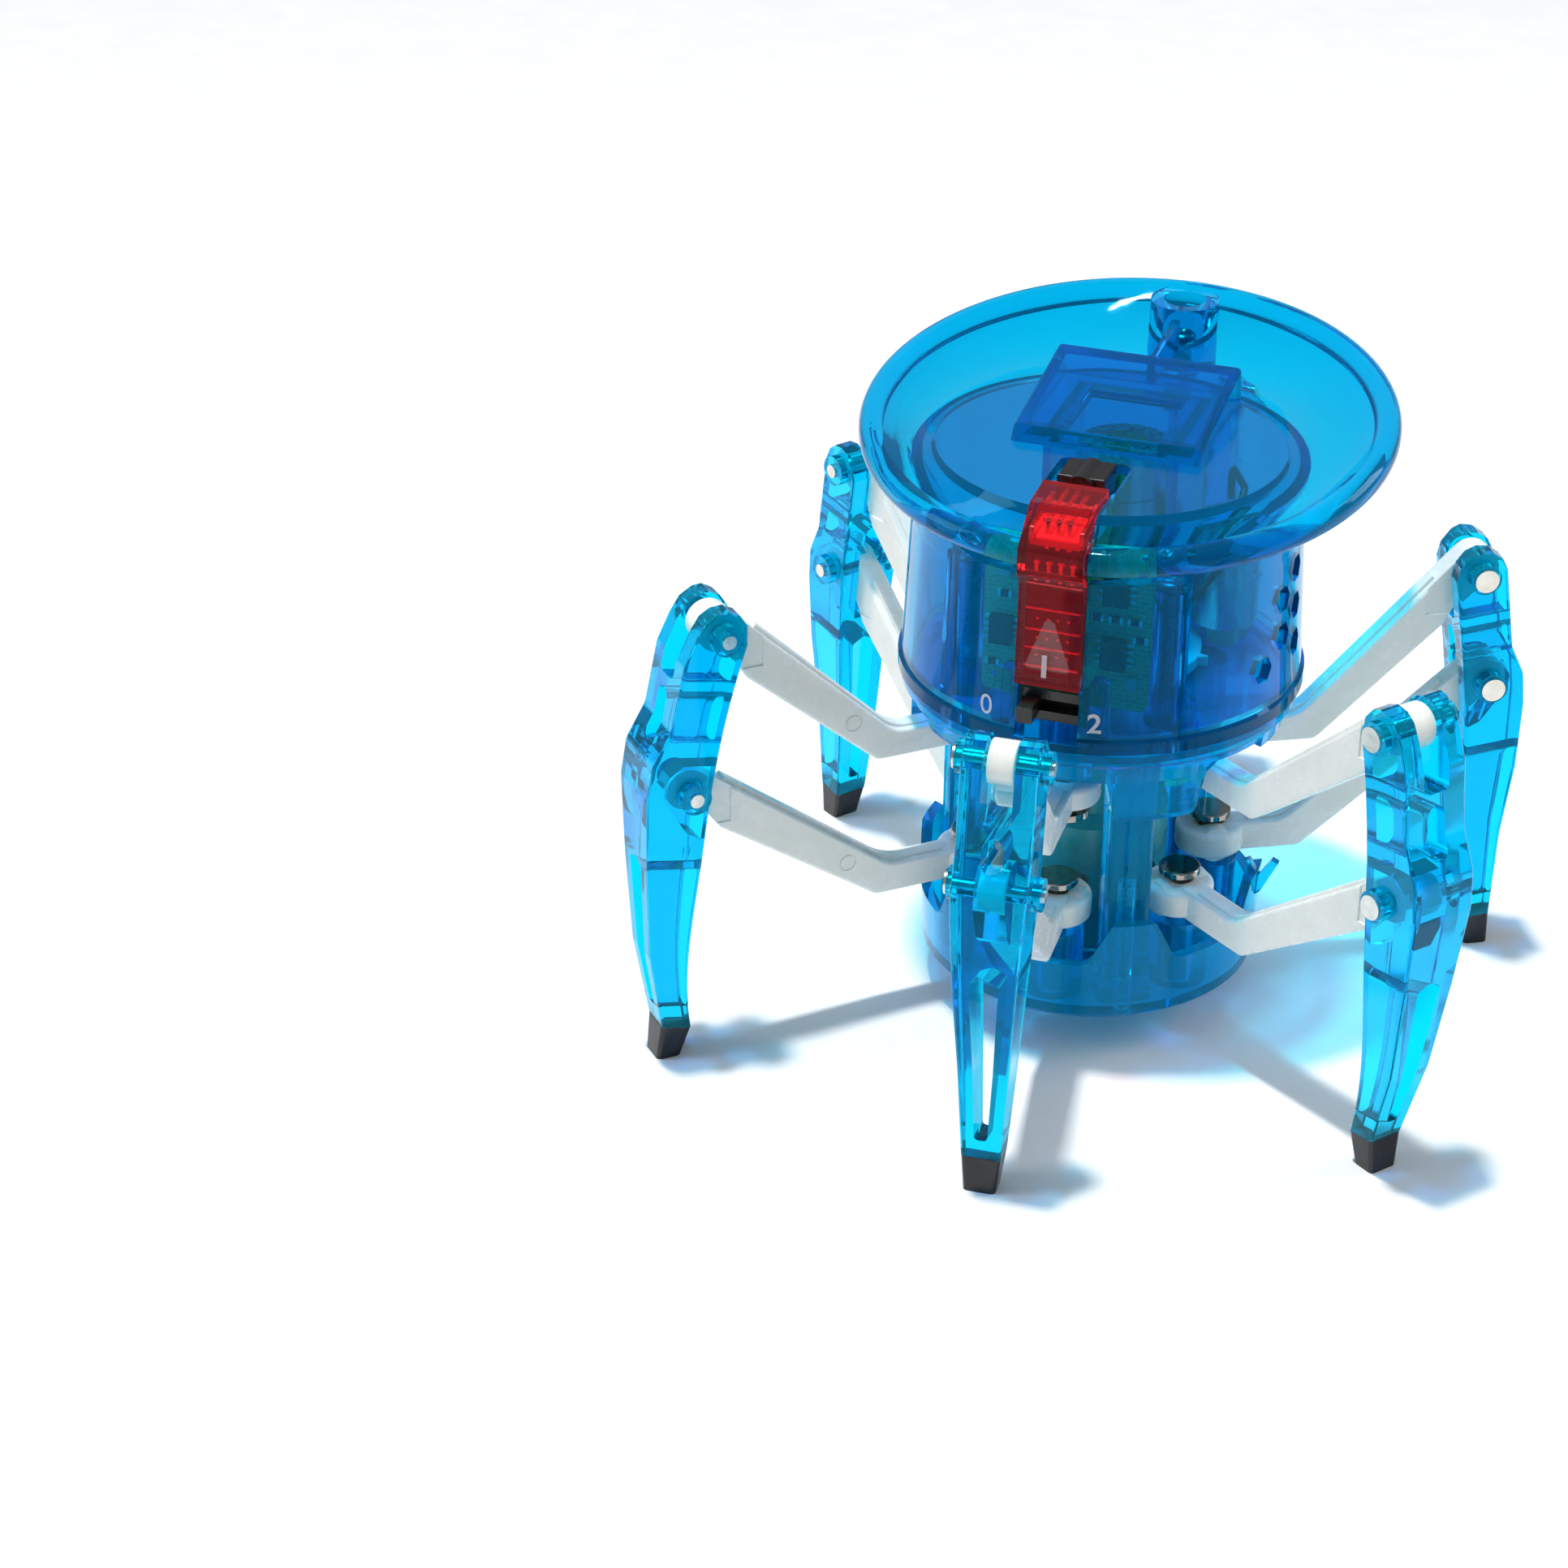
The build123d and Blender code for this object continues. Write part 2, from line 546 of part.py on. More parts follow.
with BuildPart() as visor:
    for start in (0, 180):
        sections = [rim_section(start + step * 22.5) for step in range(9)]
        loft(sections)
    with BuildSketch(Plane.XY.offset(DECK_Z - SHEET)):
        Circle(DECK_R + 0.01)
    extrude(amount=SHEET)
    # boss for the hatch screw at the back, with a rib to the rim
    boss_y = 33.0
    with BuildSketch(Plane.XY.offset(DECK_Z - 3.6)):
        with Locations((0, boss_y)):
            Circle(4.2)
    extrude(amount=9.2)
    with BuildSketch(Plane.YZ):
        with BuildLine():
            Polyline(
                (18, DECK_Z - 0.8), (31, DECK_Z - 0.4), (31, DECK_Z + 4.6), (18, DECK_Z + 3.2), close=True,
            )
        make_face()
    extrude(amount=0.5, both=True)
    with BuildSketch(Plane.XY.offset(DECK_Z - 0.2)):
        with Locations((0, boss_y)):
            Circle(2.6)
    extrude(amount=8, mode=Mode.SUBTRACT)
    with BuildSketch(Plane.XY.offset(DECK_Z - 4)):
        with Locations((0, boss_y)):
            Circle(0.95)
    extrude(amount=8, mode=Mode.SUBTRACT)
    # battery compartment that hangs from the deck, its front open for the contacts
    with BuildSketch(Plane.XY.offset(CELL_Z - 1.4)):
        with Locations((0, (OPENING_BACK + 1.0) / 2)):
            Rectangle(OPENING_W + 2.0, OPENING_BACK + 1.0)
        with Locations((0, (OPENING_BACK - 1.0) / 2)):
            Rectangle(OPENING_W, OPENING_BACK + 1.0, mode=Mode.SUBTRACT)
    extrude(amount=DECK_Z - SHEET + 0.2 - CELL_Z + 1.4)
    with BuildSketch(Plane.XY.offset(CELL_Z - 2.0)):
        with Locations((0, (OPENING_BACK + 1.0) / 2)):
            Rectangle(OPENING_W + 2.0, OPENING_BACK + 1.0)
    extrude(amount=0.8)
    # opening under the battery hatch
    with BuildSketch(Plane.XY.offset(DECK_Z - 4)):
        with Locations((0, (HATCH_FRONT + 1.2 + OPENING_BACK) / 2)):
            Rectangle(OPENING_W, OPENING_BACK - HATCH_FRONT - 1.2)
    extrude(amount=8, mode=Mode.SUBTRACT)
    # recess for the infrared receiver, and the channel for the red window in front of it
    with BuildSketch(Plane.XY.offset(DECK_Z - 4)):
        with Locations((0, -10.2)):
            RectangleRounded(LENS_W + 0.8, 9.0, 1.2)
    extrude(amount=8, mode=Mode.SUBTRACT)
    with BuildSketch(Plane.XY.offset(50)):
        with Locations((0, -20.5)):
            Rectangle(LENS_W + 0.3, 12.4)
    extrude(amount=20, mode=Mode.SUBTRACT)

with BuildPart() as cup:
    with BuildSketch(Plane.XZ):
        with BuildLine():
            Polyline(
                (FLANGE_R, FLANGE_Z), (FLANGE_R, FLANGE_Z + FLANGE_H), (CUP_R, FLANGE_Z + FLANGE_H + 0.3),
                (CUP_R_TOP, FLANGE_Z + 19), (CUP_R_TOP, DECK_Z - SHEET),
                (CUP_R_TOP - CUP_WALL, DECK_Z - SHEET), (CUP_R_TOP - CUP_WALL, FLANGE_Z + 19),
                (CUP_R - CUP_WALL, FLANGE_Z + 2.0),
                (CUP_R - CUP_WALL - 0.6, FLANGE_Z), close=True,
            )
        make_face()
    revolve(axis=Axis.Z)
    # floor with the hole for the neck
    with BuildSketch(Plane.XY.offset(FLANGE_Z)):
        Circle(CUP_R - CUP_WALL - 0.3)
        Circle(11.0, mode=Mode.SUBTRACT)
    extrude(amount=1.4)
    # front shoulder cut to clear the low front of the rim
    with BuildSketch(Plane.YZ):
        with BuildLine():
            Polyline((-30, 58.6), (-21, 58.6), (-6, 64.9), (-6, 70), (-30, 70), close=True)
        make_face()
    extrude(amount=30, both=True, mode=Mode.SUBTRACT)
    # window for the red lens and, under it, the slot of the switch knob
    with BuildSketch(head_front):
        with Locations((0, 54.5)):
            Rectangle(LENS_W + 0.3, 18.0)
        with Locations((0, 42.2)):
            Rectangle(7.4, 6.8)
    extrude(amount=30, mode=Mode.SUBTRACT)
    # slotted rails either side of the switch, inside the wall
    for side_sign in (-1, 1):
        with BuildSketch(Plane.XY.offset(FLANGE_Z + 1.4)):
            with Locations((side_sign * 5.2, -20.9)):
                Rectangle(1.2, 2.6)
                with Locations((side_sign * 1.0, -0.4)):
                    Rectangle(1.0, 1.0)
        extrude(amount=7.0)
    # three screw columns
    for azimuth in (-38, 38, 180):
        with BuildSketch(level(azimuth, 18.6, FLANGE_Z + 1.2)):
            Circle(2.3)
            Circle(0.95, mode=Mode.SUBTRACT)
        extrude(amount=DECK_Z - SHEET - FLANGE_Z - 8.2)
        with BuildSketch(level(azimuth, 20.6, FLANGE_Z + 1.2)):
            Rectangle(3.0, 1.0)
        extrude(amount=DECK_Z - SHEET - FLANGE_Z - 8.2)
        with BuildSketch(level(azimuth, 18.6, FLANGE_Z - 1)):
            Circle(0.95)
        extrude(amount=30, mode=Mode.SUBTRACT)
    # six-sided sound holes on the right-hand wall
    for azimuth, height in ((67, 44.6), (77, 47.4), (77, 52), (87, 45), (87, 49.7), (87, 54.4)):
        wall = Plane(origin=at(azimuth, 20, height), x_dir=sideways(azimuth), z_dir=outward(azimuth))
        with BuildSketch(wall):
            RegularPolygon(SOUND_HOLE_R, 6)
        extrude(amount=5, mode=Mode.SUBTRACT)
    # the visor sits on the wall
    add(visor.part, mode=Mode.SUBTRACT)
cup_body = cup.part.solids().sort_by(SortBy.VOLUME)[-1]

# ---------------------------------------------------------------- head: hatch and its screw
with BuildPart() as hatch:
    with BuildSketch(Plane.YZ):
        with BuildLine():
            Polyline(
                (HATCH_FRONT, DECK_Z), (HATCH_FRONT + 1.4, DECK_Z + 1.6), (HATCH_BACK - 1.0, DECK_Z + 4.6),
                (HATCH_BACK, DECK_Z), close=True,
            )
        make_face()
    extrude(amount=HATCH_W / 2, both=True)
    fillet(hatch.edges().filter_by(lambda edge: (edge @ 0.5).Z > DECK_Z + 0.5), 0.6)
    with BuildSketch(Plane.YZ):
        with BuildLine():
            Polyline(
                (HATCH_FRONT + 1.8, DECK_Z - 1), (HATCH_FRONT + 2.2, DECK_Z + 0.5),
                (HATCH_BACK - 2.2, DECK_Z + 3.2), (HATCH_BACK - 1.4, DECK_Z - 1), close=True,
            )
        make_face()
    extrude(amount=HATCH_W / 2 - 1.3, both=True, mode=Mode.SUBTRACT)
    # locating lip that drops into the opening of the deck
    with BuildSketch(Plane.XY.offset(DECK_Z - 1.0)):
        with Locations((0, (HATCH_FRONT + 1.2 + OPENING_BACK) / 2)):
            Rectangle(OPENING_W - 0.4, OPENING_BACK - HATCH_FRONT - 1.6)
            Rectangle(OPENING_W - 2.4, OPENING_BACK - HATCH_FRONT - 3.6, mode=Mode.SUBTRACT)
    extrude(amount=1.0)
    # ledge that joins the lip to the hatch's walls
    with BuildSketch(Plane.XY.offset(DECK_Z + 0.02)):
        with Locations((0, (HATCH_FRONT + HATCH_BACK) / 2)):
            Rectangle(HATCH_W - 1.0, HATCH_BACK - HATCH_FRONT - 1.6)
        with Locations((0, (HATCH_FRONT + 1.2 + OPENING_BACK) / 2)):
            Rectangle(OPENING_W - 2.4, OPENING_BACK - HATCH_FRONT - 3.6, mode=Mode.SUBTRACT)
    extrude(amount=0.7)

with BuildPart() as hatch_screw:
    with BuildSketch(Plane.XY.offset(DECK_Z - 0.2)):
        with Locations((0, boss_y)):
            Circle(1.9)
    extrude(amount=1.3)
    with BuildSketch(Plane.XY.offset(DECK_Z - 3.2)):
        with Locations((0, boss_y)):
            Circle(0.93)
    extrude(amount=3.2)
    with BuildSketch(Plane.XY.offset(DECK_Z + 0.6)):
        with Locations((0, boss_y)):
            Rectangle(2.4, 0.45)
            Rectangle(0.45, 2.4)
    extrude(amount=1, mode=Mode.SUBTRACT)

# ---------------------------------------------------------------- head: red window
LIP_Y = -24.6
with BuildPart() as lens:
    with BuildSketch(Plane.YZ):
        with BuildLine():
            outer_line = FilletPolyline(
                (-14.8, DECK_Z + 0.9), (-20.4, DECK_Z + 0.5), (LIP_Y, 62.6), (LIP_Y, 59.4), (-23.5, 58.2),
                (-23.9, 45.6), radius=1.0,
            )
            inner_line = FilletPolyline(
                (-14.8, DECK_Z - 0.3), (-20.0, DECK_Z - 0.7), (LIP_Y + 1.2, 62.1), (LIP_Y + 1.2, 60.0),
                (-22.3, 58.0), (-22.7, 45.6), radius=0.7,
            )
            Line(outer_line @ 0, inner_line @ 0)
            Line(outer_line @ 1, inner_line @ 1)
        make_face()
    extrude(amount=LENS_W / 2, both=True)
    # cheeks that close the sides of the bulge over the rim
    with BuildSketch(Plane.YZ.offset(-LENS_W / 2)):
        with BuildLine():
            Polyline(
                (-17.5, DECK_Z - 0.6), (-20.2, DECK_Z - 0.3), (LIP_Y + 0.6, 62.4), (LIP_Y + 0.6, 59.7),
                (-21.0, 59.7), (-19.0, 62.6), close=True,
            )
        make_face()
    extrude(amount=0.8)
    with BuildSketch(Plane.YZ.offset(LENS_W / 2)):
        with BuildLine():
            Polyline(
                (-17.5, DECK_Z - 0.6), (-20.2, DECK_Z - 0.3), (LIP_Y + 0.6, 62.4), (LIP_Y + 0.6, 59.7),
                (-21.0, 59.7), (-19.0, 62.6), close=True,
            )
        make_face()
    extrude(amount=-0.8)

# ---------------------------------------------------------------- head: electronics
BOARD_Y = -18.0
HEADER_Z = 59.2          # pin header behind the window
with BuildPart() as receiver:
    with BuildSketch(Plane.XY.offset(DECK_Z - 3.4)):
        with Locations((0, -10.4)):
            Rectangle(5.6, 5.2)
    extrude(amount=4.4)
    fillet(receiver.edges().group_by(Axis.Z)[-1], 0.3)
    with BuildSketch(Plane.XZ.offset(7.9)):
        with Locations((0, DECK_Z - 0.4)):
            Circle(1.7)
    extrude(amount=5.6)

with BuildPart() as board:
    with BuildSketch(Plane.XZ.offset(-BOARD_Y)):
        with Locations((0.8, 52.0)):
            RectangleRounded(19.2, 20.0, 0.8)
        with Locations((9.0, 60.4), (-7.4, 43.6)):
            Circle(0.7, mode=Mode.SUBTRACT)
    extrude(amount=0.8)
    # parts on the front of the board: pin header behind the window, chips and two lamps
    with BuildSketch(Plane.XZ.offset(-BOARD_Y + 0.8)):
        with Locations((0, HEADER_Z)):
            Rectangle(6.4, 1.8)
        with Locations((0, 48.6)):
            Rectangle(4.6, 3.4)
        with Locations((6.4, 57.0), (6.4, 49.0)):
            Rectangle(2.4, 3.2)
    extrude(amount=1.0)
    with BuildSketch(Plane.XZ.offset(-BOARD_Y + 1.8)):
        with GridLocations(1.4, 1, 4, 1):
            with Locations((0, HEADER_Z)):
                Rectangle(0.5, 0.5)
    extrude(amount=1.8)
    with BuildSketch(Plane.XZ.offset(-BOARD_Y)):
        with Locations((-4.6, 55.0), (5.2, 52.0)):
            Rectangle(5.0, 4.4)
    extrude(amount=-1.2)

SWITCH_Z = 42.2
KNOB_X = -2.2            # rest place of the knob: position 0, at the left
with BuildPart() as switch_case:
    with BuildSketch(Plane.XZ.offset(19.0)):
        with Locations((0, SWITCH_Z)):
            Rectangle(8.6, 3.8)
    extrude(amount=2.6)
    with BuildSketch(Plane.XZ.offset(20.0)):
        with Locations((0, SWITCH_Z)):
            Rectangle(6.9, 1.5)
    extrude(amount=3, mode=Mode.SUBTRACT)

with BuildPart() as knob:
    with BuildSketch(Plane.XZ.offset(20.4)):
        with Locations((KNOB_X, SWITCH_Z)):
            Rectangle(1.7, 1.2)
    extrude(amount=4.5)
    with BuildSketch(Plane.XZ.offset(21.9)):
        with Locations((KNOB_X, SWITCH_Z)):
            RectangleRounded(1.9, 2.0, 0.2)
    extrude(amount=3.0)

with BuildPart() as cells:
    for level_number in range(3):
        with BuildSketch(Plane.XY.offset(CELL_Z + level_number * 5.45)):
            with Locations((0, CELL_Y)):
                Circle(5.8)
        extrude(amount=5.2)
        with BuildSketch(Plane.XY.offset(CELL_Z + level_number * 5.45 + 5.2)):
            with Locations((0, CELL_Y)):
                Circle(4.6)
        extrude(amount=0.25)

with BuildPart() as contacts:
    with BuildSketch(Plane.XY.offset(CELL_Z - 0.4)):
        with Locations((0, CELL_Y)):
            Circle(3.6)
        with Locations((0, -1.2)):
            Rectangle(3.0, 11.0)
    extrude(amount=0.4)
    with BuildSketch(Plane.XY.offset(CELL_Z + 16.4)):
        with Locations((0, CELL_Y)):
            Circle(2.6)
        with Locations((0, 0.2)):
            Rectangle(3.0, 9.0)
    extrude(amount=0.3)
    with BuildSketch(Plane.XY.offset(CELL_Z)):
        with Locations((0, -4.2)):
            Rectangle(3.0, 0.3)
    extrude(amount=16.7)

# ---------------------------------------------------------------- fasteners of the head
COLUMN_TOP = DECK_Z - SHEET - 7.0
with BuildPart() as head_screws:
    for azimuth in (-38, 38, 180):
        with BuildSketch(level(azimuth, 18.6, COLUMN_TOP - 14)):
            Circle(0.93)
        extrude(amount=14)
        with BuildSketch(level(azimuth, 18.6, COLUMN_TOP)):
            Circle(1.7)
        extrude(amount=1.3)
    add(hatch_screw.part)


# ---------------------------------------------------------------- gears
def make_gear(teeth, module, thickness, bore, plane, phase=0.0):
    """Spur gear with straight-flanked teeth, slightly thinned for backlash."""
    pitch = teeth * module / 2
    root = pitch - 1.15 * module
    tip = pitch + 0.9 * module
    step = 360 / teeth
    with BuildPart() as gear:
        with BuildSketch(plane):
            Circle(root)
            with BuildLine():
                root_half = radians(step * 0.36) * root
                tip_half = radians(step * 0.14) * tip
                Polyline(
                    (root - 0.3, -root_half), (tip, -tip_half), (tip, tip_half), (root - 0.3, root_half),
                    close=True,
                )
            with PolarLocations(0, teeth, start_angle=phase):
                make_face()
            if bore:
                Circle(bore, mode=Mode.SUBTRACT)
        extrude(amount=thickness)
    return gear


NECK_Z = PLATE_TOP + NECK_H
NECK_MODULE = 0.5
NECK_TEETH = 50
TURN_TEETH = 10
TURN_R = (NECK_TEETH + TURN_TEETH) * NECK_MODULE / 2 + 0.1
TURN_AZIMUTH = 120
neck_gear = make_gear(NECK_TEETH, NECK_MODULE, 1.2, 6.1, Plane.XY.offset(NECK_Z), TURN_AZIMUTH - 90)
turn_pinion = make_gear(
    TURN_TEETH, NECK_MODULE, 2.0, 0.6,
    Plane(origin=at(TURN_AZIMUTH, TURN_R, NECK_Z - 0.1), x_dir=outward(TURN_AZIMUTH), z_dir=(0, 0, 1)), 18,
)
with BuildPart() as turn_motor:
    with BuildSketch(level(TURN_AZIMUTH, TURN_R, NECK_Z + 3.0)):
        Circle(4.0)
    extrude(amount=12.0)
    with BuildSketch(level(TURN_AZIMUTH, TURN_R, NECK_Z + 2.4)):
        Circle(1.6)
    extrude(amount=0.8)
    with BuildSketch(level(TURN_AZIMUTH, TURN_R, NECK_Z + 0.1)):
        Circle(0.57)
    extrude(amount=2.6)
    with BuildSketch(level(TURN_AZIMUTH, TURN_R, NECK_Z + 15.0)):
        Circle(2.2)
    extrude(amount=0.8)

WIRE_R = 0.45
with BuildPart() as wires:
    with BuildLine() as wire_path:
        FilletPolyline(
            (12.4, 9.6, NECK_Z + 16.4), (12.4, 9.6, NECK_Z + 20.4), (15.4, 3.0, NECK_Z + 21.0),
            (15.4, -4.0, NECK_Z + 16.0), (12.5, -8.5, NECK_Z + 12.5), (8.7, -12.4, NECK_Z + 13.5),
            (8.7, BOARD_Y + 0.02, NECK_Z + 13.5), radius=1.3,
        )
    with BuildSketch(Plane(origin=wire_path.line @ 0, z_dir=wire_path.line % 0)):
        Circle(WIRE_R)
    sweep()

# ---------------------------------------------------------------- walking drive
BOX_R = 9.2
BOX_STEP = 19.6
BOX_TOP = 33.8
with BuildPart() as gearbox:
    with BuildSketch(Plane.XZ):
        with BuildLine():
            Polyline(
                (BOX_R - 1, DISH_FLOOR + 0.02), (BOX_R - 0.62, DISH_FLOOR + 0.02), (BOX_R - 0.62, 3.2),
                (BOX_R, 3.2), (BOX_R, BOX_STEP), (6.9, BOX_STEP + 1), (6.9, BOX_TOP), (0, BOX_TOP),
                (0, BOX_TOP - 1),
                (5.9, BOX_TOP - 1), (5.9, BOX_STEP), (BOX_R - 1, BOX_STEP - 1), close=True,
            )
        make_face()
    revolve(axis=Axis.Z)
    # windows that show the cams
    for azimuth in range(0, 360, 60):
        with BuildSketch(Plane(origin=at(azimuth, 6, 10.6), x_dir=sideways(azimuth), z_dir=outward(azimuth))):
            RectangleRounded(4.2, 6.0, 0.8)
        extrude(amount=6, mode=Mode.SUBTRACT)

DRIVE_MODULE = 0.4
IDLER_X = 11 * DRIVE_MODULE + 0.08
with BuildPart() as walk_motor:
    with BuildSketch(Plane.XY.offset(20.8)):
        Circle(5.0)
    extrude(amount=11.4)
    with BuildSketch(Plane.XY.offset(20.2)):
        Circle(1.6)
    extrude(amount=0.8)
    with BuildSketch(Plane.XY.offset(16.4)):
        Circle(0.57)
    extrude(amount=4)
    with BuildSketch(Plane.XY.offset(32.2)):
        Circle(2.0)
    extrude(amount=0.55)
motor_pinion = make_gear(8, DRIVE_MODULE, 1.8, 0.6, Plane.XY.offset(17.0), 0)

idler_large = make_gear(14, DRIVE_MODULE, 1.4, 0, Plane(origin=(IDLER_X, 0, 17.2)), 360 / 28)
idler_small = make_gear(8, DRIVE_MODULE, 2.6, 0, Plane(origin=(IDLER_X, 0, 14.7)), 0)
with BuildPart() as idler:
    add(idler_large.part)
    add(idler_small.part)

crank_wheel = make_gear(14, DRIVE_MODULE, 1.4, 0, Plane.XY.offset(14.8), 360 / 28)
with BuildPart() as crank:
    add(crank_wheel.part)
    with BuildSketch(Plane.XY.offset(DISH_FLOOR + 0.3)):
        Circle(1.2)
    extrude(amount=13.5)
    for low, throw in ((5.2, 1.6), (9.6, -1.6)):
        with BuildSketch(Plane.XY.offset(low)):
            with Locations((throw, 0)):
                Circle(4.6)
        extrude(amount=2.4)

save(visor.part, "head_visor")
save(cup_body, "head_cup")
save(hatch.part, "battery_hatch")
save(lens.part, "red_lens")
save(receiver.part, "ir_receiver")
save(board.part, "circuit_board")
save(switch_case.part, "switch_case")
save(knob.part, "switch_knob")
save(cells.part, "button_cells")
save(contacts.part, "battery_contacts")
save(head_screws.part, "head_screws")
save(neck_gear.part, "neck_gear")
save(turn_pinion.part, "turn_pinion")
save(turn_motor.part, "turn_motor")
save(wires.part, "motor_wires")
save(gearbox.part, "gearbox_housing")
save(walk_motor.part, "walk_motor")
save(motor_pinion.part, "motor_pinion")
save(idler.part, "idler_gear")
save(crank.part, "crank_shaft")
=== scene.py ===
"""Looks of the six-legged walking robot: its materials, small pieces, light and camera.

Lengths are written in millimetres and turned into metres by MM.
"""
import json
from itertools import product
from math import cos, log, pi, radians, sin

import bmesh
import bpy
from mathutils import Matrix, Vector


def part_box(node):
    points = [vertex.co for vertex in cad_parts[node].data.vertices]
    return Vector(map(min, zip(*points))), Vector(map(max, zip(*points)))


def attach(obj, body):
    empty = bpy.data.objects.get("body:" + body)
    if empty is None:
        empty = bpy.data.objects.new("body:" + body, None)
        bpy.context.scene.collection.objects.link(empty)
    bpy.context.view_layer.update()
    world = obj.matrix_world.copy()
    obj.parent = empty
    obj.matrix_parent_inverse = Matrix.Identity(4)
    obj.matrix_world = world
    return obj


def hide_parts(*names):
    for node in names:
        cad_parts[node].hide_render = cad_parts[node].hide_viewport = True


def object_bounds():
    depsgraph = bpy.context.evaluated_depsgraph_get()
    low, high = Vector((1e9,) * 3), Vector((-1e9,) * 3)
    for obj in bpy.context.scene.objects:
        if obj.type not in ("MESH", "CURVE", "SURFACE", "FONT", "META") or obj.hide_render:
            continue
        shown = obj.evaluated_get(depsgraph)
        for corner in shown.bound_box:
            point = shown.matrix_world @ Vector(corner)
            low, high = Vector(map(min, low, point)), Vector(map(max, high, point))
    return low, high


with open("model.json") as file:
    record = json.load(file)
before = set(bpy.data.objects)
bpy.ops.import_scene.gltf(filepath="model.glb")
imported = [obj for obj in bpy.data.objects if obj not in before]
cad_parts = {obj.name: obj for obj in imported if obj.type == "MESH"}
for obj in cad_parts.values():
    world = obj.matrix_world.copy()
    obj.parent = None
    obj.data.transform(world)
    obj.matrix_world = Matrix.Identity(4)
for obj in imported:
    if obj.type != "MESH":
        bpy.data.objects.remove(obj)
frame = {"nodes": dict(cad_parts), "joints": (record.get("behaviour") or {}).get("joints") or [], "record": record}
cad_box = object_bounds()
nodes = frame["nodes"]
joints = {joint["name"]: joint for joint in frame["joints"]}
LEGS = ("front", "front_right", "rear_right", "rear", "rear_left", "front_left")

MM = 0.001
FLOOR_Z = cad_box[0][2]


# ---------------------------------------------------------------- node helpers
def new_material(name):
    """An empty node material: the material, its tree, its Principled shader and its output."""
    material = bpy.data.materials.new(name)
    material.use_nodes = True
    tree = material.node_tree
    shader = tree.nodes["Principled BSDF"]
    output = tree.nodes["Material Output"]
    return material, tree, shader, output


def noise(tree, scale, detail=3.0, stretch=(1, 1, 1)):
    """Noise in the object's own space, in repeats per metre."""
    place = tree.nodes.new("ShaderNodeTexCoord")
    mapping = tree.nodes.new("ShaderNodeMapping")
    mapping.inputs["Scale"].default_value = stretch
    texture = tree.nodes.new("ShaderNodeTexNoise")
    texture.inputs["Scale"].default_value = scale
    texture.inputs["Detail"].default_value = detail
    tree.links.new(place.outputs["Object"], mapping.inputs["Vector"])
    tree.links.new(mapping.outputs["Vector"], texture.inputs["Vector"])
    return texture.outputs["Fac"]


def ramp(tree, source, low, high, start=0.35, end=0.65):
    """Ramp between two greys or two colours."""
    node = tree.nodes.new("ShaderNodeValToRGB")
    for element, place, value in zip(node.color_ramp.elements, (start, end), (low, high)):
        element.position = place
        element.color = (*value, 1) if isinstance(value, tuple) else (value, value, value, 1)
    tree.links.new(source, node.inputs["Fac"])
    return node.outputs["Color"]


def add_bump(tree, shader, source, height, strength=1.0):
    """Fine relief, its height in millimetres."""
    bump = tree.nodes.new("ShaderNodeBump")
    bump.inputs["Distance"].default_value = height * MM
    bump.inputs["Strength"].default_value = strength
    tree.links.new(source, bump.inputs["Height"])
    tree.links.new(bump.outputs["Normal"], shader.inputs["Normal"])


# ---------------------------------------------------------------- materials
def clear_plastic(name, tint, passed, depth, shadow, haze, ior=1.40, polish=(0.015, 0.07)):
    """Transparent moulded plastic.

    tint colours each surface, passed is the colour left after depth millimetres, shadow is
    what each surface lets through to what it shades, and haze is the share that scatters.
    """
    gloss = tuple(0.1 + 0.9 * share for share in tint)
    material, tree, shader, output = new_material(name)
    shader.inputs["Base Color"].default_value = (*tint, 1)
    shader.inputs["Transmission Weight"].default_value = 1 - haze
    shader.inputs["IOR"].default_value = ior
    shader.inputs["Specular IOR Level"].default_value = 0.6
    shader.inputs["Specular Tint"].default_value = (*gloss, 1)
    # moulding flow and handling marks: patches of slightly duller surface, faint waves
    patches = noise(tree, 260, 5.0, (1, 1, 0.35))
    tree.links.new(ramp(tree, patches, *polish), shader.inputs["Roughness"])
    add_bump(tree, shader, noise(tree, 90, 1.5), 0.05, 0.35)
    depths = tree.nodes.new("ShaderNodeVolumeAbsorption")
    taken = [-log(share) / (depth * MM) for share in passed]
    depths.inputs["Color"].default_value = (*(1 - amount / max(taken) for amount in taken), 1)
    depths.inputs["Density"].default_value = max(taken)
    tree.links.new(depths.outputs["Volume"], output.inputs["Volume"])
    path = tree.nodes.new("ShaderNodeLightPath")
    through = tree.nodes.new("ShaderNodeBsdfTransparent")
    through.inputs["Color"].default_value = (*shadow, 1)
    mix = tree.nodes.new("ShaderNodeMixShader")
    tree.links.new(path.outputs["Is Shadow Ray"], mix.inputs[0])
    tree.links.new(shader.outputs["BSDF"], mix.inputs[1])
    tree.links.new(through.outputs["BSDF"], mix.inputs[2])
    tree.links.new(mix.outputs["Shader"], output.inputs["Surface"])
    return material


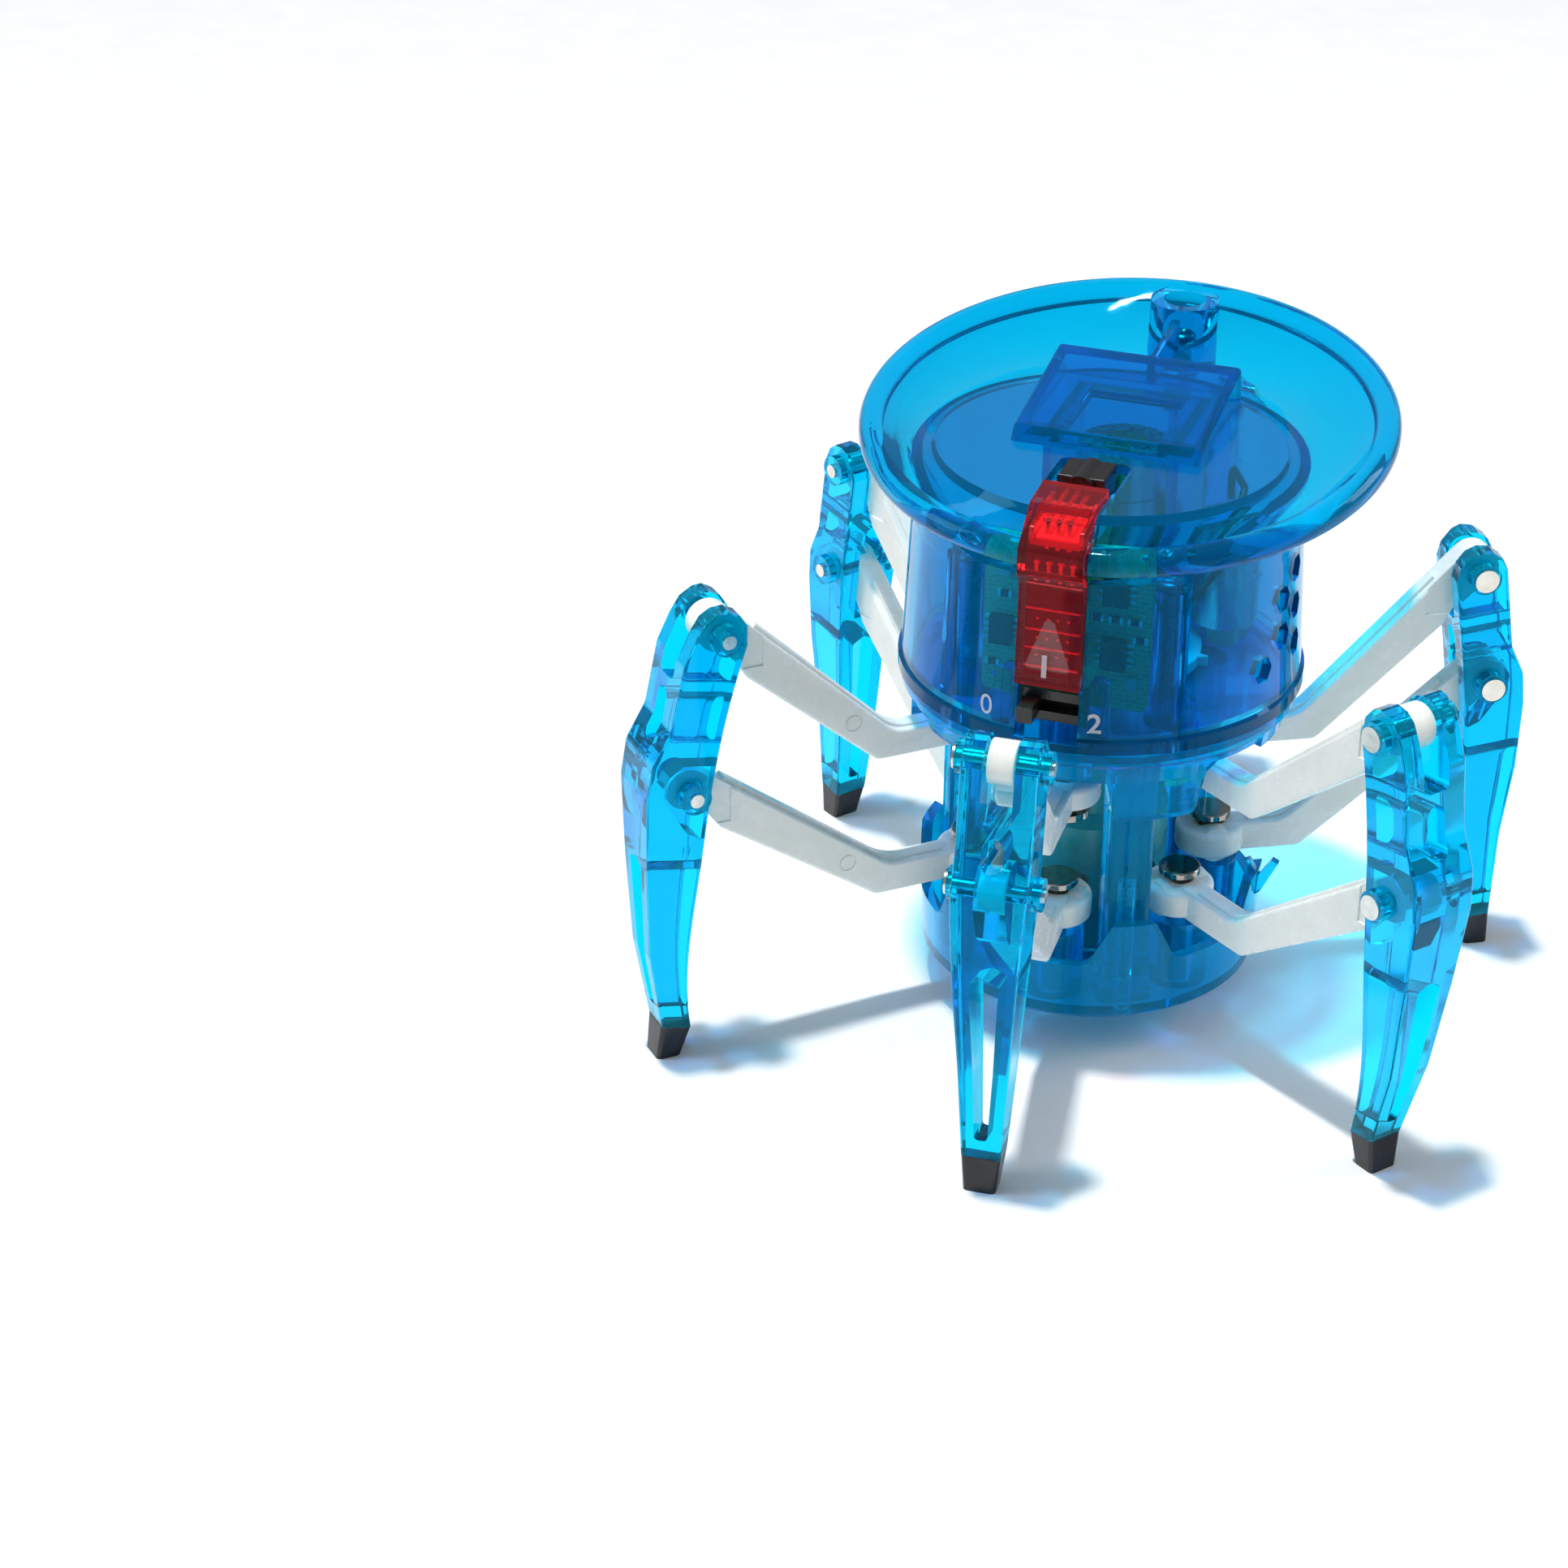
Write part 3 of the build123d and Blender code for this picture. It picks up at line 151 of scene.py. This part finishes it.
def moulded(name, low, high, roughness, grain=1800, relief=0.02, soft=0.0, soft_colour=None):
    """Opaque moulded plastic or rubber with mottled colour, uneven gloss and fine grain."""
    material, tree, shader, _ = new_material(name)
    tree.links.new(ramp(tree, noise(tree, 220, 4.0), low, high), shader.inputs["Base Color"])
    tree.links.new(ramp(tree, noise(tree, 420, 4.0), *roughness), shader.inputs["Roughness"])
    if soft:
        shader.inputs["Subsurface Weight"].default_value = soft
        shader.inputs["Subsurface Radius"].default_value = soft_colour
        shader.inputs["Subsurface Scale"].default_value = 1.5 * MM
    add_bump(tree, shader, noise(tree, grain, 3.0), relief, 0.5)
    return material


def metal(name, low, high, roughness, stretch=(1, 1, 1), relief=0.006):
    """Plated or drawn metal with fine scratches."""
    material, tree, shader, _ = new_material(name)
    shader.inputs["Metallic"].default_value = 1.0
    tree.links.new(ramp(tree, noise(tree, 500, 5.0, stretch), low, high), shader.inputs["Base Color"])
    tree.links.new(ramp(tree, noise(tree, 900, 6.0, stretch), *roughness), shader.inputs["Roughness"])
    add_bump(tree, shader, noise(tree, 2600, 4.0, stretch), relief, 0.6)
    return material


def circuit_green():
    """Solder mask over a woven board, with faint copper tracks under it."""
    material, tree, shader, _ = new_material("circuit_green")
    place = tree.nodes.new("ShaderNodeTexCoord")
    tracks = tree.nodes.new("ShaderNodeTexBrick")
    tracks.inputs["Scale"].default_value = 420
    tracks.inputs["Mortar Size"].default_value = 0.035
    tracks.inputs["Color1"].default_value = (0.010, 0.640, 0.280, 1)
    tracks.inputs["Color2"].default_value = (0.016, 0.720, 0.320, 1)
    tracks.inputs["Mortar"].default_value = (0.100, 0.850, 0.480, 1)
    turn = tree.nodes.new("ShaderNodeMapping")
    turn.inputs["Rotation"].default_value = (radians(90), 0, 0)
    tree.links.new(place.outputs["Object"], turn.inputs["Vector"])
    tree.links.new(turn.outputs["Vector"], tracks.inputs["Vector"])
    tree.links.new(tracks.outputs["Color"], shader.inputs["Base Color"])
    tree.links.new(ramp(tree, noise(tree, 700), 0.25, 0.45), shader.inputs["Roughness"])
    add_bump(tree, shader, tracks.outputs["Fac"], 0.02, 0.4)
    return material


def floor_white():
    """Seamless pale paper with a barely visible tooth."""
    material, tree, shader, _ = new_material("floor_white")
    paper = ramp(tree, noise(tree, 120, 6.0), (0.86, 0.87, 0.875), (0.89, 0.895, 0.90))
    tree.links.new(paper, shader.inputs["Base Color"])
    shader.inputs["Roughness"].default_value = 0.75
    add_bump(tree, shader, noise(tree, 1500, 4.0), 0.02, 0.3)
    return material


SHEET = 1.3              # usual wall of the clear shells, to which their colour is set
SHELL = clear_plastic(
    "shell_blue", (0.005, 0.52, 0.80), (0.05, 0.92, 0.985), SHEET, (0.30, 0.76, 0.78), 0.07
)
HATCH = clear_plastic(
    "hatch_blue", (0.005, 0.60, 0.90), (0.05, 0.94, 0.99), SHEET, (0.30, 0.76, 0.78), 0.04, ior=1.3
)
CHASSIS = clear_plastic(
    "chassis_blue", (0.005, 0.68, 0.97), (0.05, 0.93, 0.99), SHEET, (0.36, 0.78, 0.80), 0.16
)
LEG = clear_plastic(
    "leg_blue", (0.01, 0.80, 1.0), (0.05, 0.80, 0.97), 5.0, (0.34, 0.56, 0.62), 0.06
)
RED = clear_plastic(
    "window_red", (0.92, 0.12, 0.16), (0.98, 0.60, 0.62), SHEET, (0.98, 0.45, 0.45), 0.06
)
TEAL = moulded("gearbox_teal", (0.02, 0.30, 0.34), (0.03, 0.36, 0.40), (0.22, 0.38))
NYLON = moulded(
    "nylon", (0.86, 0.87, 0.81), (0.92, 0.92, 0.87), (0.18, 0.32), soft=0.25, soft_colour=(1.0, 1.0, 0.9)
)
RUBBER = moulded("rubber_black", (0.006, 0.006, 0.008), (0.014, 0.013, 0.016), (0.16, 0.34), relief=0.03)
BLACK = moulded("plastic_black", (0.008, 0.008, 0.009), (0.018, 0.016, 0.016), (0.14, 0.30))
ACETAL = moulded(
    "acetal_white", (0.72, 0.71, 0.66), (0.80, 0.79, 0.74), (0.30, 0.45),
    soft=0.2, soft_colour=(1.0, 0.95, 0.85),
)
INK = moulded("ink_white", (0.82, 0.84, 0.86), (0.90, 0.91, 0.92), (0.35, 0.55))
NICKEL = metal("nickel", (0.70, 0.67, 0.60), (0.80, 0.78, 0.72), (0.16, 0.30))
DARK_CHROME = metal("dark_chrome", (0.30, 0.27, 0.24), (0.42, 0.39, 0.35), (0.05, 0.12))
SCREW = metal("screw_steel", (0.40, 0.41, 0.42), (0.52, 0.53, 0.54), (0.22, 0.38))
CAN = metal("drawn_steel", (0.52, 0.53, 0.54), (0.62, 0.63, 0.64), (0.20, 0.34), (1, 1, 0.05))
BRASS = metal("brass", (0.72, 0.52, 0.22), (0.80, 0.62, 0.30), (0.18, 0.32))
BRIGHT = metal("tinned", (0.85, 0.80, 0.70), (0.92, 0.88, 0.80), (0.25, 0.45))
BOARD = circuit_green()


def frosted():
    """Thin translucent print on the window: mostly clear, a little milky."""
    material, tree, shader, _ = new_material("frosted_print")
    milk = ramp(tree, noise(tree, 900), (0.75, 0.60, 0.60), (0.85, 0.70, 0.70))
    tree.links.new(milk, shader.inputs["Base Color"])
    shader.inputs["Roughness"].default_value = 0.45
    shader.inputs["Alpha"].default_value = 0.14
    return material


FROST = frosted()

SLOT_LOOKS = {
    "clear_blue": SHELL, "clear_blue_chassis": CHASSIS, "clear_blue_leg": LEG, "clear_red": RED,
    "teal_box": TEAL, "nylon": NYLON, "rubber_black": RUBBER, "nickel": NICKEL, "screw_steel": SCREW,
    "black_plastic": BLACK, "board_green": BOARD, "cell_steel": CAN, "contact_brass": BRASS,
    "gear_white": ACETAL, "motor_can": CAN, "wire_black": BLACK,
}


def dress_nodes():
    """Give every CAD node the finish of its material slot, or a finish of its own."""
    for part in frame["record"]["subparts"]:
        look = SLOT_LOOKS[part["material_slot"]]
        if part["node"].startswith("hip_pin") or part["node"] == "upper_hip_pins":
            look = DARK_CHROME
        if part["node"] == "battery_hatch":
            look = HATCH
        materials = nodes[part["node"]].data.materials
        materials.clear()
        materials.append(look)


def soften(node, width, segments=2):
    """Round the hard edges of a CAD node a little, for its highlights."""
    bevel = nodes[node].modifiers.new("soft_edges", "BEVEL")
    bevel.width = width * MM
    bevel.segments = segments
    bevel.limit_method = "ANGLE"
    bevel.angle_limit = radians(35)


# ---------------------------------------------------------------- mesh helpers
def piece(name, mesh, look, body, smooth=True):
    """Make an object of a mesh in millimetres, and let it ride on a body."""
    mesh.transform(Matrix.Scale(MM, 4))
    mesh.materials.append(look)
    made = bpy.data.objects.new(name, mesh)
    bpy.context.scene.collection.objects.link(made)
    for face in mesh.polygons:
        face.use_smooth = smooth
    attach(made, body)
    return made


def mesh_of(name, build):
    """A mesh made by a function that fills a bmesh."""
    shape = bmesh.new()
    build(shape)
    bmesh.ops.recalc_face_normals(shape, faces=shape.faces)
    mesh = bpy.data.meshes.new(name)
    shape.to_mesh(mesh)
    shape.free()
    return mesh


def built(name, build, look, body, smooth=True):
    """A piece whose mesh is made by a function that fills a bmesh."""
    return piece(name, mesh_of(name, build), look, body, smooth)


def outward(azimuth):
    """Unit vector away from the axis; azimuth 0 is the front, -Y."""
    a = radians(azimuth)
    return Vector((sin(a), -cos(a), 0))


def add_skin(shape, rings):
    """Close a row of equal rings of vertices into a solid, with a cap at each end."""
    for low, high in zip(rings, rings[1:]):
        for step in range(len(low)):
            after = (step + 1) % len(low)
            shape.faces.new((low[step], low[after], high[after], high[step]))
    shape.faces.new(list(reversed(rings[0])))
    shape.faces.new(rings[-1])


def add_turned(shape, origin, profile, steps=40):
    """Turned body about an upright axis: profile is (radius, height) pairs from the bottom up."""
    rings = []
    for radius, height in profile:
        ring = []
        for step in range(steps):
            a = 2 * pi * step / steps
            ring.append(shape.verts.new(origin + Vector((radius * cos(a), radius * sin(a), height))))
        rings.append(ring)
    add_skin(shape, rings)


def add_thread(shape, origin, length, outer, root, pitch, steps=20):
    """Screw thread along +Z: a rod whose radius follows a helix."""
    turns = length / pitch
    rows = int(turns * 8)
    rings = []
    for row in range(rows + 1):
        height = length * row / rows
        ring = []
        for step in range(steps):
            a = 2 * pi * step / steps
            phase = (height / pitch - step / steps) % 1.0
            lift = 1 - min(1.0, abs(phase - 0.5) / 0.32)
            fade = min(1.0, (length - height) / pitch, height / pitch)
            radius = root + (outer - root) * lift * fade
            ring.append(shape.verts.new(origin + Vector((radius * cos(a), radius * sin(a), height))))
        rings.append(ring)
    add_skin(shape, rings)


def add_block(shape, low, high, round_by=0.0):
    """Box between two corners, its edges rounded."""
    ends = zip(low, high)
    verts = [shape.verts.new(corner) for corner in product(*ends)]
    sides = ((0, 1, 3, 2), (4, 6, 7, 5), (0, 4, 5, 1), (2, 3, 7, 6), (0, 2, 6, 4), (1, 5, 7, 3))
    faces = [shape.faces.new([verts[i] for i in side]) for side in sides]
    if round_by:
        edges = list({edge for face in faces for edge in face.edges})
        bmesh.ops.bevel(shape, geom=edges, offset=round_by, segments=2, affect="EDGES", profile=0.5)


# ---------------------------------------------------------------- screws
PAN_HEAD = (
    (1.68, 0.0), (1.70, 0.35), (1.55, 0.85), (1.15, 1.15), (0.55, 1.22), (0.50, 0.75), (0.15, 0.60),
)
PILLARS = (30, 150, 270)         # azimuths of the chassis pillars
PILLAR_R = 16.0
COLUMNS = (-38, 38, 180)         # azimuths of the head's screw columns
COLUMN_R = 18.6
COLUMN_DROP = 8.5                # from the cup's top to the seats of the screw heads
HATCH_SCREW_Y = 33.0
HATCH_SCREW_DROP = 8.8
M2_THREAD = {"outer": 1.08, "root": 0.82, "pitch": 0.8}
THIN_THREAD = {"outer": 0.92, "root": 0.70, "pitch": 0.7}


def chassis_screws():
    """Threaded M2 screws in the pillars."""
    low, high = (corner.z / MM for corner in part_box("chassis_screws"))

    def build(shape):
        for azimuth in PILLARS:
            start = outward(azimuth) * PILLAR_R + Vector((0, 0, low + 0.02))
            add_thread(shape, start, high - low - 0.05, **M2_THREAD)

    made = built("pillar_screw_threads", build, SCREW, "chassis")
    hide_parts("chassis_screws")


def head_screws():
    """Threaded screws in the head's columns with turned pan heads, recessed in the middle, and the hatch screw."""
    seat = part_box("head_cup")[1].z / MM - COLUMN_DROP
    hatch = Vector((0, HATCH_SCREW_Y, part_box("head_visor")[1].z / MM - HATCH_SCREW_DROP))

    def build(shape):
        for azimuth in COLUMNS:
            place = outward(azimuth) * COLUMN_R
            add_thread(shape, place + Vector((0, 0, seat - 14)), 14.2, **THIN_THREAD)
            add_turned(shape, place + Vector((0, 0, seat)), PAN_HEAD)
        add_thread(shape, hatch, 3.4, **THIN_THREAD)
        add_turned(shape, hatch + Vector((0, 0, 3.0)), PAN_HEAD)

    made = built("head_screw_threads", build, SCREW, "head")
    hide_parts("head_screws")


# ---------------------------------------------------------------- printed marks of the switch
WINDOW_TOP = 58.2        # from here the window runs down with a slight lean
WINDOW_LEAN = 0.032
WINDOW_Y = -23.56
WALL_R = 23.66           # outside of the head's wall
MARK_Z = 41.6
POINTER = ((-2.75, 0, 0), (2.75, 0, 0), (0.45, 6.3, 0), (-0.45, 6.3, 0))


def text_mesh(character, height, bold):
    """A character as a thin mesh centred on the origin, its height in millimetres."""
    curve = bpy.data.curves.new("mark", "FONT")
    curve.body = character
    curve.extrude = 0.01
    curve.offset = bold
    holder = bpy.data.objects.new("mark", curve)
    bpy.context.scene.collection.objects.link(holder)
    bpy.context.view_layer.update()
    ready = holder.evaluated_get(bpy.context.evaluated_depsgraph_get())
    mesh = bpy.data.meshes.new_from_object(ready)
    bpy.data.objects.remove(holder)
    xs = [vert.co.x for vert in mesh.vertices]
    ys = [vert.co.y for vert in mesh.vertices]
    scale = height / (max(ys) - min(ys))
    centre = Vector(((max(xs) + min(xs)) / 2, (max(ys) + min(ys)) / 2, 0))
    mesh.transform(Matrix.Scale(scale, 4) @ Matrix.Translation(-centre))
    return mesh


def wrap_on_wall(mesh, azimuth, height, radius):
    """Bend a flat mesh onto the round wall of the head."""
    for vert in mesh.vertices:
        across, up, proud = vert.co
        place = outward(azimuth + across / radius * 180 / pi) * (radius + abs(proud) * 0.3)
        vert.co = place + Vector((0, 0, height + up))


def stand_on_window(mesh, across_at, height, depth):
    """Set a flat mesh on the front of the red window, which leans a little."""
    for vert in mesh.vertices:
        across, up, proud = vert.co
        lean = (height + up - WINDOW_TOP) * WINDOW_LEAN
        vert.co = Vector((across_at + across, depth + lean - abs(proud) * 0.3, height + up))


def printed_marks():
    """Switch positions 0, 1 and 2, and the pointer printed on the window."""
    for character, azimuth, bold in (("0", -18.2, 0.0), ("2", 13.6, 0.02)):
        mark = text_mesh(character, 2.5, bold)
        wrap_on_wall(mark, azimuth, MARK_Z, WALL_R)
        piece(f"mark_{character}", mark, INK, "head", smooth=False)
    mark = text_mesh("1", 2.8, 0.03)
    stand_on_window(mark, -0.3, 48.4, WINDOW_Y - 0.3)
    piece("mark_1", mark, INK, "head", smooth=False)

    def pointer(shape):
        shape.faces.new([shape.verts.new(corner) for corner in POINTER])
        bmesh.ops.bevel(shape, geom=list(shape.verts), offset=0.3, segments=3, affect="VERTICES")

    mesh = mesh_of("window_pointer", pointer)
    stand_on_window(mesh, 0.0, 47.8, WINDOW_Y)
    piece("window_pointer", mesh, FROST, "head", smooth=False)


# ---------------------------------------------------------------- ridges along the arms
RIDGE_W = 1.7
RIDGE_H = 0.28
RIDGE_ROOT = 0.4         # how deep a ridge is set into its arm
RIDGE_SECTION = (
    (-RIDGE_W / 2, -RIDGE_ROOT), (-RIDGE_W / 2, RIDGE_H - 0.1), (-RIDGE_W / 2 + 0.15, RIDGE_H),
    (RIDGE_W / 2 - 0.15, RIDGE_H), (RIDGE_W / 2, RIDGE_H - 0.1), (RIDGE_W / 2, -RIDGE_ROOT),
)
RIDGE_BEND = 2.6         # length of a ridge's bend on each side of the elbow
ARM_HALF = 2.65          # half the height of an arm's sloping bar
BAR_HALF = {"lower_arm": 1.9, "upper_arm": 1.7}         # half the height of its level bar
KNEES = {"lower_arm": "lower_knee", "upper_arm": "upper_knee"}
RING_END = 4.6
EYE_END = 4.4
LONG_LEGS = ("front_right", "rear", "front_left")
ELBOW = {True: 12.5, False: 9.8}                        # elbow's reach from the hip, by long leg or not
UPPER_ELBOW_STEP = 3.0
# the upper hips stand this far inside the lower ones, at this height
UPPER_HIP = {True: (-3.1, 31.0), False: (-2.1, 27.4)}


def smooth_bend(points, reach):
    """A line through three points whose middle corner is rounded over a reach."""
    first, corner, last = points
    start = corner + (first - corner).normalized() * reach
    end = corner + (last - corner).normalized() * reach
    bend = [start.lerp(corner, t).lerp(corner.lerp(end, t), t) for t in (0, 0.2, 0.4, 0.6, 0.8, 1)]
    return [first, *bend, last]


def arm_hip(leg, kind, out):
    """Where an arm turns up and down at its inner end, in millimetres."""
    hip = Vector(joints[f"leg_lift_{leg}"]["pos_m"]) / MM
    if kind == "upper_arm":
        inside, height = UPPER_HIP[leg in LONG_LEGS]
        hip = Vector((hip.x, hip.y, 0)) + out * inside + Vector((0, 0, height))
    return hip


def arm_top(leg, kind, hip, out):
    """The line along the top of an arm, as (outward, up) points from its hip."""
    knee = Vector(joints[f"{KNEES[kind]}_{leg}"]["pos_m"]) / MM
    eye = Vector(((knee - hip).dot(out), knee.z - hip.z))
    elbow = ELBOW[leg in LONG_LEGS] + (UPPER_ELBOW_STEP if kind == "upper_arm" else 0.0)
    slope = Vector((eye.x - elbow, eye.y)).normalized()
    bar = BAR_HALF[kind]
    corner = Vector((elbow - ARM_HALF * (1 - slope.x) / slope.y, bar))
    end = eye + Vector((-slope.y, slope.x)) * ARM_HALF - slope * EYE_END
    return smooth_bend([Vector((RING_END, bar)), corner, end], RIDGE_BEND)


def arm_ridge(leg, kind):
    """Raised moulded line along the top of an arm, worked out from the arm's joints."""
    side = Vector(joints[f"leg_lift_{leg}"]["axis"]).normalized()
    out = side.cross(Vector((0, 0, 1))) * -1
    hip = arm_hip(leg, kind, out)
    line = arm_top(leg, kind, hip, out)

    def build(shape):
        rings = []
        for index, point in enumerate(line):
            before = line[max(index - 1, 0)]
            after = line[min(index + 1, len(line) - 1)]
            way = (after - before).normalized()
            across = Vector((-way.y, way.x))
            ring = []
            for width, height in RIDGE_SECTION:
                spot = point + across * height
                place = hip + out * spot.x + side * width + Vector((0, 0, spot.y))
                ring.append(shape.verts.new(place))
            rings.append(ring)
        add_skin(shape, rings)

    built(f"{kind}_ridge_{leg}", build, NYLON, f"{kind}_{leg}", smooth=False)


# ---------------------------------------------------------------- inside the head
WINDOW_HALF = 3.3        # half the width of what lies behind the window
LEAD_PITCH = 1.27
SLEEVE_FRONT = -12.6     # where the receiver's legs leave it
CARRIER_BACK = -13.2


def window_backing():
    """Black connector behind the red window, with bright ribs and rows of pins."""
    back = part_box("circuit_board")[0].y / MM

    def black(shape):
        add_block(shape, (-WINDOW_HALF, back - 0.1, 46.0), (WINDOW_HALF, back + 1.2, 61.2), 0.15)

    def bright(shape):
        for height in (58.0, 54.6, 52.0, 49.7, 47.4):
            add_block(shape, (-3.2, back - 0.5, height - 0.12), (3.2, back, height + 0.12), 0.04)
        for column in (-2.1, -0.7, 0.7, 2.1):
            add_block(shape, (column - 0.22, back - 0.6, 58.7), (column + 0.22, back, 60.6), 0.05)
            add_block(shape, (column - 0.38, back - 0.45, 60.2), (column + 0.38, back, 60.5), 0.05)
        for height in (53.2, 50.8, 48.6):
            for column in (-1.8, -0.6, 0.6, 1.8):
                low = (column - 0.16, back - 0.3, height)
                add_block(shape, low, (column + 0.16, back, height + 0.32), 0.04)

    built("window_connector", black, BLACK, "head", smooth=False)
    built("window_pins", bright, BRIGHT, "head", smooth=False)


def receiver_mount():
    """The receiver's three legs, bent down to the board, the clips beside them and its carrier."""
    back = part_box("circuit_board")[0].y / MM

    def leads(shape):
        for column in (-LEAD_PITCH, 0.0, LEAD_PITCH):
            left = column - 0.25
            right = column + 0.25
            add_block(shape, (left, back + 0.2, 64.6), (right, SLEEVE_FRONT, 65.0), 0.06)
            add_block(shape, (left, back + 0.2, 61.4), (right, back + 0.6, 65.0), 0.06)
        for clip in (-2.9, 2.9):
            add_block(shape, (clip - 0.3, back - 0.6, 62.6), (clip + 0.3, -13.4, 64.4), 0.1)

    def carrier(shape):
        add_block(shape, (-WINDOW_HALF, back - 0.4, 61.9), (WINDOW_HALF, CARRIER_BACK, 63.2), 0.3)
        for rib in (-14.6, -16.2, -17.8):
            add_block(shape, (-3.0, rib - 0.18, 63.1), (3.0, rib + 0.18, 63.6), 0.06)

    built("receiver_leads", leads, BRIGHT, "head", smooth=False)
    built("receiver_carrier", carrier, ACETAL, "head", smooth=False)


BOARD_DEPTH = 2.0        # from the parts on the board's back to its front face
# places on the board as (across, height), and for a chip its width and height
CHIPS = ((6.4, 49.0, 2.9, 3.8), (6.4, 57.0, 2.9, 3.8), (-6.6, 50.0, 2.6, 3.6))
RESISTORS = ((4.2, 53.2), (6.4, 53.2), (8.6, 53.2), (9.3, 51.0), (-7.6, 45.6), (-5.2, 45.6), (-6.4, 54.4))
CAPACITORS = ((8.6, 45.6), (5.4, 44.8), (-6.4, 57.6))


def board_parts():
    """Chips with their legs, small resistors and capacitors soldered to the front of the board."""
    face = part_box("circuit_board")[1].y / MM - BOARD_DEPTH

    def soldered(shape, x, z, half_wide, half_tall, proud, round_by):
        low = (x - half_wide, face - proud, z - half_tall)
        add_block(shape, low, (x + half_wide, face + 0.05, z + half_tall), round_by)

    def black(shape):
        for x, z, wide, tall in CHIPS:
            low = (x - wide / 2, face - 1.15, z - tall / 2)
            add_block(shape, low, (x + wide / 2, face - 0.1, z + tall / 2), 0.1)
        for x, z in RESISTORS:
            soldered(shape, x, z, 0.55, 0.38, 0.38, 0.05)

    def bright(shape):
        for x, z, wide, tall in CHIPS:
            for row in range(4):
                height = z + tall * (row - 1.5) / 4.4
                for side in (-1, 1):
                    soldered(shape, x + side * (wide / 2 + 0.35), height, 0.35, 0.2, 0.3, 0.05)
        for x, z in RESISTORS:
            for side in (-1, 1):
                soldered(shape, x + side * 0.65, z, 0.2, 0.42, 0.42, 0.05)

    def pale(shape):
        for x, z in CAPACITORS:
            soldered(shape, x, z, 0.6, 0.75, 0.8, 0.12)

    built("board_chips", black, BLACK, "head", smooth=False)
    built("board_solder", bright, BRIGHT, "head", smooth=False)
    built("board_capacitors", pale, ACETAL, "head", smooth=False)


# ---------------------------------------------------------------- stage, light and camera
CAMERA_AT = Vector((96.2, -380.1, 235.5))
CAMERA_WAY = Vector((-0.2945, 0.8244, -0.4835))
CAMERA_ROLL = 0.32       # degrees
LENS = 84.2              # on a sensor 36 mm wide
FLOOR_HALF = 3000


def add_camera():
    """The camera at the photograph's viewing angle."""
    data = bpy.data.cameras.new("camera")
    data.lens = LENS
    data.sensor_width = 36
    data.shift_x = -0.0016
    data.shift_y = 0.0035
    data.clip_start = 0.01
    data.clip_end = 20
    camera = bpy.data.objects.new("camera", data)
    bpy.context.scene.collection.objects.link(camera)
    way = CAMERA_WAY.normalized()
    level = way.cross(Vector((0, 0, 1))).normalized()
    up = level.cross(way)
    roll = radians(CAMERA_ROLL)
    right = level * cos(roll) + up * sin(roll)
    up = right.cross(way)
    turn = Matrix((right, up, -way)).transposed().to_4x4()
    camera.matrix_world = Matrix.Translation(CAMERA_AT * MM) @ turn
    bpy.context.scene.camera = camera


def add_area(name, place, aim, size, power, tall=None):
    """A soft box that faces a point; places in millimetres, power in watts."""
    data = bpy.data.lights.new(name, "AREA")
    data.shape = "RECTANGLE"
    data.size = size * MM
    data.size_y = (tall or size) * MM
    data.energy = power
    light = bpy.data.objects.new(name, data)
    bpy.context.scene.collection.objects.link(light)
    way = (Vector(aim) - Vector(place)).normalized()
    turn = way.to_track_quat("-Z", "Y").to_matrix().to_4x4()
    light.matrix_world = Matrix.Translation(Vector(place) * MM) @ turn


def add_stage():
    """A wide pale floor and a bright, even room."""
    def build(shape):
        corners = [(-1, -1), (1, -1), (1, 1), (-1, 1)]
        height = FLOOR_Z / MM
        shape.faces.new([shape.verts.new((x * FLOOR_HALF, y * FLOOR_HALF, height)) for x, y in corners])

    mesh = mesh_of("floor", build)
    mesh.transform(Matrix.Scale(MM, 4))
    mesh.materials.append(floor_white())
    floor = bpy.data.objects.new("floor", mesh)
    bpy.context.scene.collection.objects.link(floor)
    world = bpy.data.worlds.new("studio")
    world.use_nodes = True
    sky = world.node_tree.nodes["Background"]
    sky.inputs["Color"].default_value = (0.90, 0.95, 1.0, 1)
    sky.inputs["Strength"].default_value = 0.25
    bpy.context.scene.world = world
    add_area("key", (-180, -60, 1500), (0, 0, 20), 80, 20.0)
    add_area("left_box", (-520, -260, 300), (0, 0, 40), 200, 1.1, tall=420)
    add_area("right_box", (480, 300, 320), (0, 0, 50), 240, 1.2, tall=300)


dress_nodes()
for leg in LEGS:
    soften(f"foot_tip_{leg}", 0.35)
soften("switch_knob", 0.15)
soften("switch_case", 0.15)
soften("battery_hatch", 0.35, 3)
chassis_screws()
head_screws()
for leg in LEGS:
    arm_ridge(leg, "lower_arm")
    arm_ridge(leg, "upper_arm")
printed_marks()
receiver_mount()
window_backing()
board_parts()
add_stage()
add_camera()
bpy.context.scene.view_settings.view_transform = "Standard"
